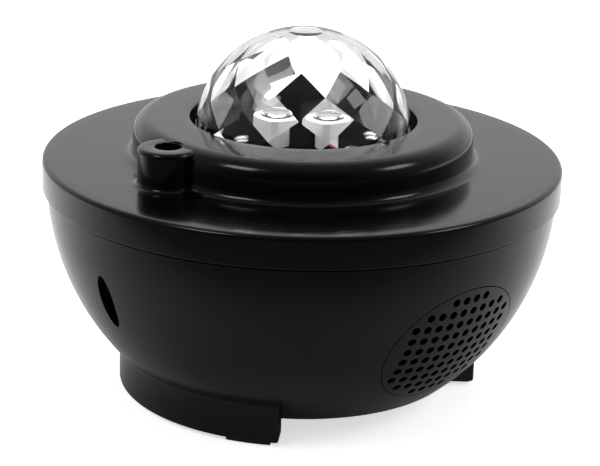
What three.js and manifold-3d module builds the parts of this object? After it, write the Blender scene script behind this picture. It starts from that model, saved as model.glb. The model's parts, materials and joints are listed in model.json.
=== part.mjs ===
// Star projector: a bowl-shaped case with a speaker, a turning crystal dome and a laser beside it.
// Millimetres, +Z up. The origin is on the dome's axis, level with the undersides of the pads.
// The speaker faces -Y. The laser and the power socket are on the -X side, the buttons on +Y.

import * as THREE from 'three';
import { mergeVertices } from 'three/addons/utils/BufferGeometryUtils.js';
import { ConvexGeometry } from 'three/addons/geometries/ConvexGeometry.js';
import Module from 'manifold-3d';

const wasm = await Module();
wasm.setup();

// Driving dimensions of the case
const bowlRadius = 81.2;
const bowlCentre = 70;
const baseHeight = 6.2;
const flangeTop = 76.5;
const skirtDepth = 10.1;
const skirtWall = 2.9;
const rimStep = 1.9;
const ringRadius = 54;
const ringRise = 12.6;
const openingRadius = 36;
const wall = 2.2;

// Clearances and overruns that every fit shares
const seatGap = 0.3;
const runningGap = 0.35;
const overrun = 2;

// Numbers of straight sides on round parts
const roundSides = 40;
const smallSides = 16;
const tinySides = 8;
const wireSides = 5;
const ballSides = 24;
const ballRows = 18;
const trimSides = 36;

const turn = 360;
const rad = THREE.MathUtils.degToRad;
const bowlInner = bowlRadius - wall;
const rimRadius = bowlRadius - rimStep;
const bowlLevelRadius = (radius, height) => Math.sqrt(radius ** 2 - (bowlCentre - height) ** 2);
const model = new THREE.Group();

const finishes = {
  shell: { color: 0x0c0c0d, roughness: 0.32, metalness: 0 },
  crystal: { color: 0xf4f8fa, roughness: 0.04, metalness: 0, transparent: true, opacity: 0.45 },
  rubber: { color: 0x161616, roughness: 0.85, metalness: 0 },
  nylon: { color: 0xe8e6de, roughness: 0.5, metalness: 0 },
  frame: { color: 0x1b1c1e, roughness: 0.55, metalness: 0 },
  whitePlastic: { color: 0xf2f2ef, roughness: 0.4, metalness: 0 },
  silvered: { color: 0xe8eaec, roughness: 0.12, metalness: 1 },
  aluminium: { color: 0xb4b6b8, roughness: 0.35, metalness: 1 },
  steel: { color: 0x9b9da0, roughness: 0.3, metalness: 1 },
  brass: { color: 0xb08d4a, roughness: 0.3, metalness: 1 },
  ferrite: { color: 0x2b2b2d, roughness: 0.7, metalness: 0 },
  paper: { color: 0x202020, roughness: 0.9, metalness: 0 },
  board: { color: 0x1f5a35, roughness: 0.45, metalness: 0 },
  blackBoard: { color: 0x17181a, roughness: 0.4, metalness: 0 },
  chip: { color: 0x141414, roughness: 0.5, metalness: 0 },
  redWire: { color: 0xb8141a, roughness: 0.5, metalness: 0 },
  blackWire: { color: 0x121212, roughness: 0.5, metalness: 0 },
};

// Places and outlines

const polar = (radius, degrees) => [radius * Math.sin(rad(degrees)), -radius * Math.cos(rad(degrees))];

function arc(centre, height, radius, from, to, steps) {
  const points = [];
  for (let i = 0; i <= steps; i += 1) {
    const angle = rad(from + ((to - from) * i) / steps);
    points.push([centre + radius * Math.cos(angle), height + radius * Math.sin(angle)]);
  }
  return points;
}

// Solids

function merged(geometry) {
  const bare = geometry.clone();
  bare.deleteAttribute('normal');
  bare.deleteAttribute('uv');
  return mergeVertices(bare);
}

function solidOf(geometry) {
  const welded = merged(geometry);
  const index = welded.index.array;
  const kept = [];
  for (let i = 0; i < index.length; i += 3) {
    const [a, b, c] = [index[i], index[i + 1], index[i + 2]];
    if (a !== b && b !== c && c !== a) kept.push([a, b, c]);
  }
  const vertProperties = new Float32Array(welded.attributes.position.array);
  const build = (faces) => new wasm.Manifold(
    new wasm.Mesh({ numProp: 3, vertProperties, triVerts: new Uint32Array(faces.flat()) }),
  );
  const solid = build(kept);
  return solid.volume() > 0 ? solid : build(kept.map(([a, b, c]) => [a, c, b]));
}

function geometryOf(solid) {
  const mesh = solid.getMesh();
  const geometry = new THREE.BufferGeometry();
  geometry.setAttribute('position', new THREE.BufferAttribute(new Float32Array(mesh.vertProperties), 3));
  geometry.setIndex(new THREE.BufferAttribute(new Uint32Array(mesh.triVerts), 1));
  return geometry;
}

const join = (base, ...others) => geometryOf(
  others.reduce((solid, other) => solid.add(solidOf(other)), solidOf(base)),
);

const cut = (base, ...tools) => geometryOf(
  tools.reduce((solid, tool) => solid.subtract(solidOf(tool)), solidOf(base)),
);

const common = (base, other) => geometryOf(solidOf(base).intersect(solidOf(other)));

// A turned piece from its closed profile of [radius, height] points
function turned(profile, sides = roundSides) {
  const points = [...profile, profile[0]].map(([radius, height]) => new THREE.Vector2(radius, height));
  return new THREE.LatheGeometry(points, sides).rotateX(Math.PI / 2);
}

function rod(radius, low, high, x = 0, y = 0, sides = smallSides) {
  const geometry = new THREE.CylinderGeometry(radius, radius, high - low, sides);
  return geometry.rotateX(Math.PI / 2).translate(x, y, (low + high) / 2);
}

function sleeve(inner, outer, low, high, sides = smallSides) {
  return turned([[inner, low], [outer, low], [outer, high], [inner, high]], sides);
}

function block(x, y, z) {
  const geometry = new THREE.BoxGeometry(x[1] - x[0], y[1] - y[0], z[1] - z[0]);
  return geometry.translate((x[0] + x[1]) / 2, (y[0] + y[1]) / 2, (z[0] + z[1]) / 2);
}

const around = (middle, half) => [middle - half, middle + half];

function sector(inner, outer, middle, halfAngle, low, high, steps) {
  const from = middle - halfAngle - 90;
  const to = middle + halfAngle - 90;
  const outline = [...arc(0, 0, outer, from, to, steps), ...arc(0, 0, inner, to, from, steps)];
  const shape = new THREE.Shape(outline.map(([x, y]) => new THREE.Vector2(x, y)));
  const geometry = new THREE.ExtrudeGeometry(shape, { depth: high - low, bevelEnabled: false });
  return geometry.translate(0, 0, low);
}

function place(name, geometry, finish, parent = model) {
  const look = new THREE.MeshStandardMaterial({ ...finishes[finish], flatShading: true });
  const mesh = new THREE.Mesh(geometryOf(solidOf(geometry)), look);
  mesh.name = name;
  parent.add(mesh);
  return mesh;
}

// Screws: a head under a shank, both on one vertical axis

function screw(name, x, y, headLow, headHeight, headRadius, shankRadius, shankLength) {
  const headTop = headLow + headHeight;
  const slotHalf = shankRadius / 3;
  const slotDepth = headHeight / 2;
  const body = turned([
    [0, headLow], [headRadius, headLow], [headRadius, headTop],
    [shankRadius, headTop], [shankRadius, headTop + shankLength], [0, headTop + shankLength],
  ], tinySides).translate(x, y, 0);
  const slotSpan = [headLow - overrun, headLow + slotDepth];
  const slot = block(around(x, headRadius + overrun), around(y, slotHalf), slotSpan);
  place(name, cut(body, slot), 'steel');
}

// Base: two arc feet, the opening between them, its ledge and its cover
const padThickness = 1.2;
const footBottom = padThickness;
const footProud = 7.7;
const footWidth = 9;
const footOuter = bowlLevelRadius(bowlRadius, baseHeight) + footProud;
const footInner = footOuter - footWidth;
const footHalfAngle = 44;
const footSteps = 10;
const footMiddles = [-90, 90];
const ledgeWidth = 6.5;
const ledgeThickness = 2.2;
const ledgeOverFoot = 1.2;
const ledgeOuter = footInner + ledgeOverFoot;
const baseOpening = ledgeOuter - ledgeWidth;
const baseCoverLap = 3.5;
const baseCoverRadius = baseOpening + baseCoverLap;
const baseCoverThickness = 1.9;
const ledgeBottom = baseHeight + baseCoverThickness + seatGap;

// Case screws rise through the feet, under the pads, into long posts of the top cover.
const caseScrewCircle = footOuter - footWidth / 2;
const caseScrewInset = 9.8;
const caseScrewAngles = footMiddles.flatMap((middle) => [
  middle + footHalfAngle - caseScrewInset, middle - footHalfAngle + caseScrewInset,
]);
const caseScrewShank = 1.3;
const caseScrewShankLength = 14;
const caseScrewHead = 2.8;
const caseScrewHeadHeight = 1.8;
const screwHoleGap = 0.4;
const headGap = 0.4;
const bowlPostRadius = 4.3;
const bowlPostHeight = 13.4;
const bowlPostTop = baseHeight + bowlPostHeight;
const bowlPostRoof = 2.2;
const coverPostRadius = 4.2;
const coverPostBottom = bowlPostTop + seatGap;
const wellTop = bowlPostTop - bowlPostRoof;

// Chassis screws hold the inner deck under four short posts of the top cover.
const chassisClearance = 13;
const chassisRadius = bowlInner - chassisClearance;
const chassisScrewInset = 4;
const chassisScrewCircle = chassisRadius - chassisScrewInset;
const chassisScrewAngles = [25, 155, 205, 335];
const chassisScrewShank = 1.2;
const chassisScrewShankLength = 9;
const chassisScrewHead = 2.6;
const chassisScrewHeadHeight = 1.7;
const chassisPostRadius = 3.6;
const chassisDepth = 12.7;
const chassisTop = flangeTop - chassisDepth;
const chassisThickness = 2;
const chassisBottom = chassisTop - chassisThickness;

// Gears: one module throughout, so the tooth counts set the centre distance of the laser and the motor
const tooth = 1.2;
const tableTeeth = 75;
const pinionTeeth = 15;
const addendumShare = 0.9;
const dedendumShare = 1.25;
const pressureAngle = 20;
const backlash = 0.3;
const gearDepth = 4;
const gearThickness = 3;
const gearHigh = flangeTop - gearDepth;
const gearLow = gearHigh - gearThickness;
const tableFlankSteps = 1;
const pinionFlankSteps = 2;
const gearCircle = tooth * (tableTeeth + pinionTeeth) / 2;

// Top cover: the wide flange with its skirt, the raised ring round the dome and the laser boss

const skirtInner = rimRadius + seatGap;
const flangeRadius = skirtInner + skirtWall;
const seamHeight = flangeTop - skirtDepth;
const ringTop = flangeTop + ringRise;
const coverUnder = flangeTop - wall;
const edgeFillet = 1.5;
const ringFillet = 3;
const ringRoll = 5.5;
const lipEdge = 0.6;
const lipDepth = 8;
const bossRadius = 9.4;
const bossDrop = 0.6;
const bossTop = ringTop - bossDrop;
const bossHole = 4.1;
const bossEdge = 1.5;
const bossFootFillet = 1.2;

function topCover() {
  const upperSide = [
    ...arc(flangeRadius - edgeFillet, flangeTop - edgeFillet, edgeFillet, 0, 90, 2),
    ...arc(ringRadius + ringFillet, flangeTop + ringFillet, ringFillet, 270, 180, 2),
    ...arc(ringRadius - ringRoll, ringTop - ringRoll, ringRoll, 0, 90, 4),
  ];
  const shell = turned([
    [skirtInner, seamHeight],
    [flangeRadius, seamHeight],
    ...upperSide,
    [openingRadius + lipEdge, ringTop],
    [openingRadius, ringTop - lipEdge],
    [openingRadius, ringTop - lipDepth],
    [openingRadius + wall, ringTop - lipDepth],
    [openingRadius + wall, ringTop - wall],
    ...arc(ringRadius - ringRoll, ringTop - ringRoll, ringRoll - wall, 90, 0, 2),
    [ringRadius - wall, coverUnder],
    [skirtInner, coverUnder],
  ]);
  const boss = turned([
    [0, coverUnder],
    [bossRadius + bossFootFillet, coverUnder],
    [bossRadius + bossFootFillet, flangeTop],
    [bossRadius, flangeTop + bossFootFillet],
    ...arc(bossRadius - bossEdge, bossTop - bossEdge, bossEdge, 0, 90, 2),
    [0, bossTop],
  ], smallSides).translate(-gearCircle, 0, 0);
  const bossHollow = rod(bossRadius - wall, coverUnder - overrun, bossTop - wall, -gearCircle);
  const beamHole = rod(bossHole, bossTop - wall - overrun, bossTop + overrun, -gearCircle);
  const inside = turned([
    [0, coverPostBottom],
    [flangeRadius - wall, coverPostBottom],
    ...upperSide.map(([radius, height]) => [radius - wall / 2, height - wall / 2]),
    [0, ringTop - wall / 2],
  ]);
  const posts = [];
  const pilots = [];
  for (const angle of caseScrewAngles) {
    const [x, y] = polar(caseScrewCircle, angle);
    posts.push(common(rod(coverPostRadius, coverPostBottom, ringTop, x, y, tinySides), inside));
    const pilotTop = wellTop + caseScrewShankLength + overrun;
    pilots.push(rod(caseScrewShank + seatGap, coverPostBottom - overrun, pilotTop, x, y, tinySides));
  }
  for (const angle of chassisScrewAngles) {
    const [x, y] = polar(chassisScrewCircle, angle);
    posts.push(common(rod(chassisPostRadius, chassisTop + seatGap, ringTop, x, y, tinySides), inside));
    const pilotTop = chassisBottom - seatGap + chassisScrewShankLength + seatGap;
    pilots.push(rod(chassisScrewShank + seatGap, chassisTop - overrun, pilotTop, x, y, tinySides));
  }
  place('top_cover', cut(join(shell, boss, ...posts), bossHollow, beamHole, ...pilots), 'shell');
}

// Speaker axis: it leaves the bowl's centre towards -Y, tilted down, and the group below follows it.
const grilleHeight = 32.56;
const speakerTilt = THREE.MathUtils.radToDeg(Math.asin((bowlCentre - grilleHeight) / bowlRadius));
const grilleHalfWidth = 24.4;
const grilleHalfHeight = 22.6;
const holePitchAcross = 4.07;
const holePitchUp = 4.25;
const holeRadius = 1.35;
const holeRows = [4, 8, 10, 10, 10, 10, 10, 10, 8, 4];
const grilleSeatGap = 0.6;
const grilleSides = 32;
const holeSides = 6;
const speakerRadius = 24;
const speakerDepth = 23.3;
const collarWall = 3;
const collarInner = speakerRadius + seatGap;
const collarOuter = collarInner + collarWall;
const speakerFrontGap = 0.55;
const speakerFront = Math.sqrt(bowlInner ** 2 - speakerRadius ** 2) - speakerFrontGap;
const speakerRimHeight = 2.7;
const speakerBack = speakerFront - speakerDepth;
const collarBack = speakerFront - speakerRimHeight;

const onSpeakerAxis = (geometry) => geometry.rotateX(rad(90 + speakerTilt)).translate(0, 0, bowlCentre);

function ovalRod(halfWidth, halfHeight, low, high, sides) {
  return rod(1, low, high, 0, 0, sides).scale(halfWidth, halfHeight, 1);
}

function ball(radius, sides, rows) {
  return new THREE.SphereGeometry(radius, sides, rows).rotateX(Math.PI / 2);
}

// Power inlet: an upright oval pocket in the -X wall with the socket on its floor
const inletHeight = 43.3;
const inletHalfWidth = 3.4;
const inletHalfHeight = 8.9;
const inletDepth = 6.4;
const inletWall = 2;
const socketHalfWidth = 1.5;
const socketHalfHeight = 4;
const socketReach = 2.5;
const inletFace = Math.sqrt(bowlRadius ** 2 - (bowlCentre - inletHeight) ** 2);
const inletFloor = inletFace - inletDepth;
const inletBack = inletFloor - inletWall;

function inletRod(grow, near, far) {
  const geometry = rod(1, near, far).scale(inletHalfHeight + grow, inletHalfWidth + grow, 1);
  return geometry.rotateY(-Math.PI / 2).translate(0, 0, inletHeight);
}

// Buttons: three caps in a row through the +Y wall, each on a push switch
const buttonHeight = 52.5;
const buttonPitch = 15;
const buttonCount = 3;
const buttonRadius = 3.6;
const buttonProud = 1;
const buttonTravel = 0.5;
const buttonCollar = 1.1;
const buttonCollarThickness = 1.4;
const controlHalfWidth = 27;
const controlLow = 37.5;
const controlHigh = 60.5;
const boardThickness = 1.6;
const controlSetback = 12.1;
const controlFace = bowlLevelRadius(bowlInner, buttonHeight) - controlSetback;
const controlPostRadius = 2.2;
const controlPostInset = 3;
const switchSize = 6;
const switchHeight = 3.5;
const plungerRadius = 1.7;
const plungerSocket = 1.5;

const buttonX = (i) => (i - (buttonCount - 1) / 2) * buttonPitch;

const buttonFace = (x) => Math.sqrt(bowlLevelRadius(bowlRadius, buttonHeight) ** 2 - x ** 2) + buttonProud;

const alongY = (geometry, x, z) => geometry.rotateX(-Math.PI / 2).translate(x, 0, z);

const controlPosts = [-1, 1].flatMap((side) => [
  [side * (controlHalfWidth - controlPostInset), controlLow + controlPostInset],
  [side * (controlHalfWidth - controlPostInset), controlHigh - controlPostInset],
]);

// Base screws hold the base cover under the ledge.
const baseScrewCircle = (baseOpening + baseCoverRadius) / 2;
const baseScrewAngles = [0, 180];
const baseScrewHead = 1.5;
const baseScrewHeadHeight = 1.3;
const baseScrewShank = 0.8;
const baseScrewShankLength = 4.4;

function bowlShell() {
  const lowest = (radius, height) => -THREE.MathUtils.radToDeg(Math.asin((bowlCentre - height) / radius));
  const rimTop = coverUnder - seatGap;
  const floor = baseHeight + wall;
  const shoulder = seamHeight - seatGap;
  const thickening = shoulder - wall - rimStep;
  const outside = turned([
    [0, baseHeight],
    ...arc(0, bowlCentre, bowlRadius, lowest(bowlRadius, baseHeight), lowest(bowlRadius, shoulder), 8),
    [rimRadius, shoulder],
    [rimRadius, rimTop],
    [0, rimTop],
  ]);
  const cavity = turned([
    [0, floor],
    ...arc(0, bowlCentre, bowlInner, lowest(bowlInner, floor), lowest(bowlInner, thickening), 7),
    [rimRadius - wall, shoulder - wall],
    [rimRadius - wall, rimTop + overrun],
    [0, rimTop + overrun],
  ]);
  const footTop = bowlCentre - Math.sqrt(bowlInner ** 2 - footOuter ** 2);
  const feet = footMiddles.map((middle) => sector(
    footInner, footOuter, middle, footHalfAngle, footBottom, footTop, footSteps,
  ));
  const ledge = sleeve(baseOpening, ledgeOuter, floor - wall / 2, ledgeBottom + ledgeThickness, roundSides);
  const added = [ledge];
  const removed = [
    rod(baseOpening, baseHeight - overrun, floor + overrun, 0, 0, roundSides),
    rod(baseCoverRadius + seatGap, baseHeight - overrun, ledgeBottom, 0, 0, roundSides),
  ];
  for (const angle of caseScrewAngles) {
    const [x, y] = polar(caseScrewCircle, angle);
    added.push(rod(bowlPostRadius, floor - wall / 2, bowlPostTop, x, y, smallSides));
    removed.push(rod(caseScrewHead + headGap, footBottom - overrun, wellTop, x, y, tinySides));
    const shankHole = caseScrewShank + screwHoleGap;
    removed.push(rod(shankHole, wellTop - overrun, bowlPostTop + overrun, x, y, tinySides));
  }
  for (const angle of baseScrewAngles) {
    const [x, y] = polar(baseScrewCircle, angle);
    const top = ledgeBottom + ledgeThickness + overrun;
    removed.push(rod(baseScrewShank + seatGap, baseHeight - overrun, top, x, y, tinySides));
  }
  const reach = bowlRadius + overrun;
  const inside = ball(bowlRadius - wall / 2, trimSides, trimSides / 2).translate(0, 0, bowlCentre);
  const collar = common(
    onSpeakerAxis(sleeve(collarInner, collarOuter, collarBack, reach, grilleSides)), inside,
  );
  added.push(collar);
  const grilleSpace = onSpeakerAxis(cut(
    ovalRod(grilleHalfWidth + seatGap, grilleHalfHeight + seatGap, collarBack, reach, grilleSides),
    ball(bowlInner - grilleSeatGap, ballSides, ballRows),
  ));
  removed.push(grilleSpace);
  added.push(common(inletRod(inletWall, inletBack, reach), inside));
  removed.push(inletRod(0, inletFloor, reach));
  removed.push(block(
    [-inletFloor - overrun, -inletBack + overrun],
    around(0, socketHalfWidth + seatGap),
    around(inletHeight, socketHalfHeight + seatGap),
  ));
  for (const [x, z] of controlPosts) {
    const post = rod(controlPostRadius, controlFace + seatGap, reach, 0, 0, tinySides);
    added.push(common(alongY(post, x, z), inside));
  }
  for (let i = 0; i < buttonCount; i += 1) {
    const hole = rod(buttonRadius + seatGap, controlFace, reach, 0, 0, smallSides);
    removed.push(alongY(hole, buttonX(i), buttonHeight));
  }
  place('bowl_shell', cut(join(cut(join(outside, ...feet), cavity), ...added), ...removed), 'shell');
}

function baseCover() {
  const standoffs = boardCorners.map(([x, y]) => (
    rod(standoffRadius, baseHeight + baseCoverThickness / 2, mainBoardLow - seatGap, x, y, tinySides)
  ));
  const holes = baseScrewAngles.map((angle) => {
    const [x, y] = polar(baseScrewCircle, angle);
    const top = baseHeight + baseCoverThickness + overrun;
    return rod(baseScrewShank + seatGap, baseHeight - overrun, top, x, y, tinySides);
  });
  const disc = rod(baseCoverRadius, baseHeight, baseHeight + baseCoverThickness, 0, 0, roundSides);
  place('bottom_cover', cut(join(disc, ...standoffs), ...holes), 'shell');
}

// Rubber pads under the ends of the feet, over the screw wells
const padInset = 1.2;
const padHalfAngle = 7.2;
const padSteps = 4;

function pads() {
  caseScrewAngles.forEach((angle, i) => {
    const pad = sector(
      footInner + padInset, footOuter - padInset, angle, padHalfAngle, 0, footBottom, padSteps,
    );
    place(`rubber_pad_${i + 1}`, pad, 'rubber');
  });
}

// Speaker: built on its own axis, measured from the bowl's centre outwards
const basketWall = 1.1;
const surroundOuter = 21.9;
const surroundInner = 17.8;
const surroundThickness = 0.6;
const coneGap = 0.4;
const coneDepth = 7;
const coneWall = 0.6;
const coilRadius = 7.1;
const coilWall = 0.8;
const coilLength = 6;
const capRise = 2;
const capShoulderShare = 0.75;
const plateThickness = 2;
const magnetThickness = 5.8;
const yokeThickness = 1.6;
const magnetRadius = 14.5;
const basketFloorRadius = 15;
const windowHalf = 5;
const windowTurn = 45;
const magnetBoreGap = 1.3;

function grille() {
  const shell = cut(
    common(
      ovalRod(grilleHalfWidth, grilleHalfHeight, collarBack, bowlRadius + overrun, grilleSides),
      ball(bowlRadius, ballSides, ballRows),
    ),
    ball(bowlInner, ballSides, ballRows),
  );
  const holes = [];
  holeRows.forEach((count, row) => {
    const y = ((holeRows.length - 1) / 2 - row) * holePitchUp;
    for (let i = 0; i < count; i += 1) {
      const x = (i - (count - 1) / 2) * holePitchAcross;
      holes.push(rod(holeRadius, collarBack, bowlRadius + overrun, x, y, holeSides));
    }
  });
  place('speaker_grille', onSpeakerAxis(cut(shell, ...holes)), 'shell');
}

function speaker() {
  const group = new THREE.Group();
  group.rotation.x = rad(90 + speakerTilt);
  group.position.z = bowlCentre;
  model.add(group);

  const ledge = speakerFront - speakerRimHeight / 2;
  const yokeTop = speakerBack + yokeThickness;
  const magnetLow = yokeTop + seatGap;
  const magnetHigh = magnetLow + magnetThickness;
  const plateLow = magnetHigh + seatGap;
  const plateHigh = plateLow + plateThickness;
  const basketLow = plateHigh + seatGap;
  const coilOuter = coilRadius;
  const coilInner = coilRadius - coilWall;
  const boreRadius = coilOuter + coneGap;
  const basketSlope = surroundOuter - basketWall;

  const basket = turned([
    [speakerRadius, speakerFront],
    [surroundOuter + seatGap, speakerFront],
    [surroundOuter + seatGap, ledge],
    [basketSlope, ledge],
    [basketFloorRadius - basketWall, basketLow + basketWall],
    [boreRadius + basketWall, basketLow + basketWall],
    [boreRadius + basketWall, basketLow],
    [basketFloorRadius, basketLow],
    [surroundOuter, collarBack],
    [speakerRadius, collarBack],
  ], smallSides);
  const windowSpan = [basketLow + basketWall + basketWall, collarBack - basketWall];
  const windowReach = [basketFloorRadius - basketWall - basketWall, speakerRadius];
  const windows = [0, 90, 180, 270].map((degrees) => (
    block(windowReach, around(0, windowHalf), windowSpan).rotateZ(rad(degrees + windowTurn))
  ));
  place('speaker_frame', cut(basket, ...windows), 'frame', group);

  const rollMiddle = (surroundOuter - basketWall + surroundInner) / 2;
  const rollOuter = rollMiddle - surroundInner - surroundThickness;
  const rollBase = ledge + seatGap;
  place('speaker_surround', turned([
    [surroundOuter, rollBase],
    [surroundOuter, rollBase + surroundThickness],
    ...arc(rollMiddle, rollBase + surroundThickness, rollOuter, 0, 180, 4),
    [surroundInner, rollBase + surroundThickness],
    [surroundInner, rollBase],
    ...arc(rollMiddle, rollBase, rollOuter - surroundThickness, 180, 0, 3),
  ], smallSides), 'rubber', group);

  const lip = rollBase + surroundThickness;
  const throat = lip - coneDepth;
  const coilTop = throat - coneWall;
  place('speaker_cone', turned([
    [0, throat + capRise],
    [coilOuter / 2, throat + capRise * capShoulderShare],
    [coilOuter, throat],
    [surroundInner - coneGap, lip],
    [surroundInner - coneGap, lip - coneWall],
    [coilOuter + coneGap, coilTop],
    [coilOuter, coilTop - coneWall],
    [coilOuter, coilTop - coilLength],
    [coilInner, coilTop - coilLength],
    [coilInner, coilTop],
    [0, throat + capRise - coneWall],
  ], smallSides), 'paper', group);

  place('speaker_top_plate', sleeve(boreRadius, magnetRadius, plateLow, plateHigh), 'steel', group);
  const magnet = sleeve(boreRadius + magnetBoreGap, magnetRadius, magnetLow, magnetHigh);
  place('speaker_magnet', magnet, 'ferrite', group);
  place('speaker_yoke', turned([
    [0, speakerBack],
    [magnetRadius, speakerBack],
    [magnetRadius, yokeTop],
    [coilInner - coneGap, yokeTop],
    [coilInner - coneGap, plateHigh],
    [0, plateHigh],
  ], smallSides), 'steel', group);
}

// Involute outline with a tooth centred on +X
function gearShape(teeth, flankSteps) {
  const pitch = (tooth * teeth) / 2;
  const base = pitch * Math.cos(rad(pressureAngle));
  const tip = pitch + tooth * addendumShare;
  const root = pitch - tooth * dedendumShare;
  const foot = Math.max(root, base);
  const unwind = (radius) => {
    const angle = Math.acos(Math.min(1, base / radius));
    return Math.tan(angle) - angle;
  };
  const halfAtPitch = (Math.PI * tooth / 2 - backlash) / 2 / pitch;
  const half = (radius) => halfAtPitch + unwind(pitch) - unwind(radius);
  const flank = [];
  if (root < foot) flank.push([root, half(foot)]);
  for (let i = 0; i <= flankSteps; i += 1) {
    const radius = foot + ((tip - foot) * i) / flankSteps;
    flank.push([radius, half(radius)]);
  }
  const outline = [];
  for (let k = 0; k < teeth; k += 1) {
    const middle = (2 * Math.PI * k) / teeth;
    const rising = flank.map(([radius, angle]) => [radius, middle - angle]);
    const falling = flank.map(([radius, angle]) => [radius, middle + angle]).reverse();
    for (const [radius, angle] of [...rising, ...falling]) {
      outline.push(new THREE.Vector2(radius * Math.cos(angle), radius * Math.sin(angle)));
    }
  }
  return new THREE.Shape(outline);
}

function gear(teeth, flankSteps, low, high) {
  const shape = gearShape(teeth, flankSteps);
  return new THREE.ExtrudeGeometry(shape, { depth: high - low, bevelEnabled: false }).translate(0, 0, low);
}

// Inner deck: a round plate with the fixed pedestal that the turntable runs on
const pedestalRadius = 27;
const pedestalTop = flangeTop;
const thrustWidth = 4;
const deckWireHole = 3;
const deckWireCircle = 20;
const deckWireAngle = -2;
const motorHole = 4;

function chassis() {
  const deck = turned([
    [0, pedestalTop - wall],
    [0, pedestalTop],
    [pedestalRadius, pedestalTop],
    [pedestalRadius, gearLow - seatGap],
    [pedestalRadius + thrustWidth, gearLow - seatGap],
    [pedestalRadius + thrustWidth, chassisTop],
    [chassisRadius, chassisTop],
    [chassisRadius, chassisBottom],
    [pedestalRadius - wall, chassisBottom],
    [pedestalRadius - wall, pedestalTop - wall],
  ]);
  const through = [chassisBottom - overrun, chassisTop + overrun];
  const [wireX, wireY] = polar(deckWireCircle, deckWireAngle);
  const holes = [
    rod(motorHole, ...through, gearCircle, 0, smallSides),
    rod(holderRadius + seatGap, ...through, -gearCircle, 0, smallSides),
    rod(deckWireHole, pedestalTop - wall - overrun, pedestalTop + overrun, wireX, wireY, tinySides),
  ];
  for (const angle of caseScrewAngles) {
    const [x, y] = polar(caseScrewCircle, angle);
    holes.push(rod(coverPostRadius + seatGap, ...through, x, y, smallSides));
  }
  for (const angle of chassisScrewAngles) {
    const [x, y] = polar(chassisScrewCircle, angle);
    holes.push(rod(chassisScrewShank + screwHoleGap, ...through, x, y, tinySides));
  }
  place('chassis_plate', cut(deck, ...holes), 'frame');
}

// Turntable and dome
const hubBore = pedestalRadius + runningGap;
const hubLip = 1.5;
const hubWall = 2.65;
const hubOuter = hubBore + hubWall;
const hubTop = flangeTop + hubLip;
const domeGap = 1.6;
const domeRadius = openingRadius - domeGap;
const domeLift = 7;
const domeRise = 34;
const domeCentre = flangeTop + domeLift;
const domeApex = domeCentre + domeRise;
const domeWall = 1.7;
const domeFlangeReach = 4.5;
const domeFlangeRadius = openingRadius + domeFlangeReach;
const domeFlangeThickness = 1.8;
const facetCount = 10;
const domePhase = -131;
const facetRowsAbove = 6;
const facetRowsBelow = 3;
const facetStartRow = 0.76;
const domeRows = 8;

function turntable() {
  const disc = gear(tableTeeth, tableFlankSteps, gearLow, gearHigh);
  const hub = rod(hubOuter, gearLow, hubTop, 0, 0, roundSides);
  const bore = rod(hubBore, gearLow - overrun, hubTop + overrun, 0, 0, roundSides);
  place('dome_turntable', cut(join(disc, hub), bore), 'nylon');
}

// The dome is round outside. Inside it carries flat diamond facets: their corners lie in rows whose
// heights follow the equal steps that keep every diamond flat.
function facetCorners(radius, height) {
  const corners = [];
  const half = Math.PI / facetCount;
  const rowStep = Math.acosh(1 / Math.cos(half));
  const phase = rad(domePhase);
  const latitude = (row) => 2 * Math.atan(Math.tanh((facetStartRow + row * rowStep) / 2));
  for (let row = -facetRowsBelow; row <= facetRowsAbove; row += 1) {
    for (let k = 0; k < facetCount; k += 1) {
      const angle = phase + 2 * half * k + (row % 2 === 0 ? half : 0);
      const level = domeCentre + height * Math.sin(latitude(row));
      const reach = radius * Math.cos(latitude(row));
      const corner = new THREE.Vector3(reach * Math.cos(angle), reach * Math.sin(angle), level);
      corners.push(corner);
      if (row === -facetRowsBelow) corners.push(corner.clone().setZ(gearHigh - overrun));
      if (row === -facetRowsBelow + 1) corners.push(corner.clone().setZ(gearHigh - overrun));
    }
  }
  return corners;
}

function dome() {
  const bottom = gearHigh + seatGap;
  const round = arc(0, 0, 1, 0, 90, domeRows).map(([x, y]) => [x * domeRadius, domeCentre + y * domeRise]);
  round[round.length - 1][0] = 0;
  const outside = turned([
    [0, bottom],
    [domeFlangeRadius, bottom],
    [domeFlangeRadius, bottom + domeFlangeThickness],
    [domeRadius, bottom + domeFlangeThickness],
    ...round,
  ], roundSides);
  const inside = new ConvexGeometry(facetCorners(domeRadius - domeWall, domeRise - domeWall));
  place('crystal_dome', cut(outside, inside), 'crystal');
}

// Drive: a motor hung under the deck at +X turns the table; the table turns the grating over the laser
const motorRadius = 12;
const motorLength = 19;
const motorLow = chassisBottom - seatGap - motorLength;
const motorNeck = 3.4;
const motorNeckHeight = 1.4;
const shaftRadius = 1.5;
const shaftProud = 0.6;
const shaftTop = gearHigh + shaftProud;
const pinionHubRadius = 5;
const pinionHubLength = 3;
const pinionHubLow = gearLow - pinionHubLength;

function drive() {
  const motorTop = chassisBottom - seatGap;
  const can = turned([
    [0, motorLow],
    [motorRadius - edgeFillet, motorLow],
    [motorRadius, motorLow + edgeFillet],
    [motorRadius, motorTop],
    [motorNeck, motorTop],
    [motorNeck, motorTop + motorNeckHeight],
    [0, motorTop + motorNeckHeight],
  ], smallSides).translate(gearCircle, 0, 0);
  place('drive_motor', can, 'steel');
  const shaftLow = motorTop + motorNeckHeight + seatGap;
  place('motor_shaft', rod(shaftRadius, shaftLow, shaftTop, gearCircle, 0, tinySides), 'steel');
  const pinion = join(
    gear(pinionTeeth, pinionFlankSteps, gearLow, gearHigh),
    rod(pinionHubRadius, pinionHubLow, gearLow + overrun, 0, 0, smallSides),
  );
  const bore = rod(shaftRadius + seatGap, pinionHubLow - overrun, gearHigh + overrun, 0, 0, tinySides);
  place('motor_pinion', cut(pinion, bore).translate(gearCircle, 0, 0), 'nylon');
}

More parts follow.
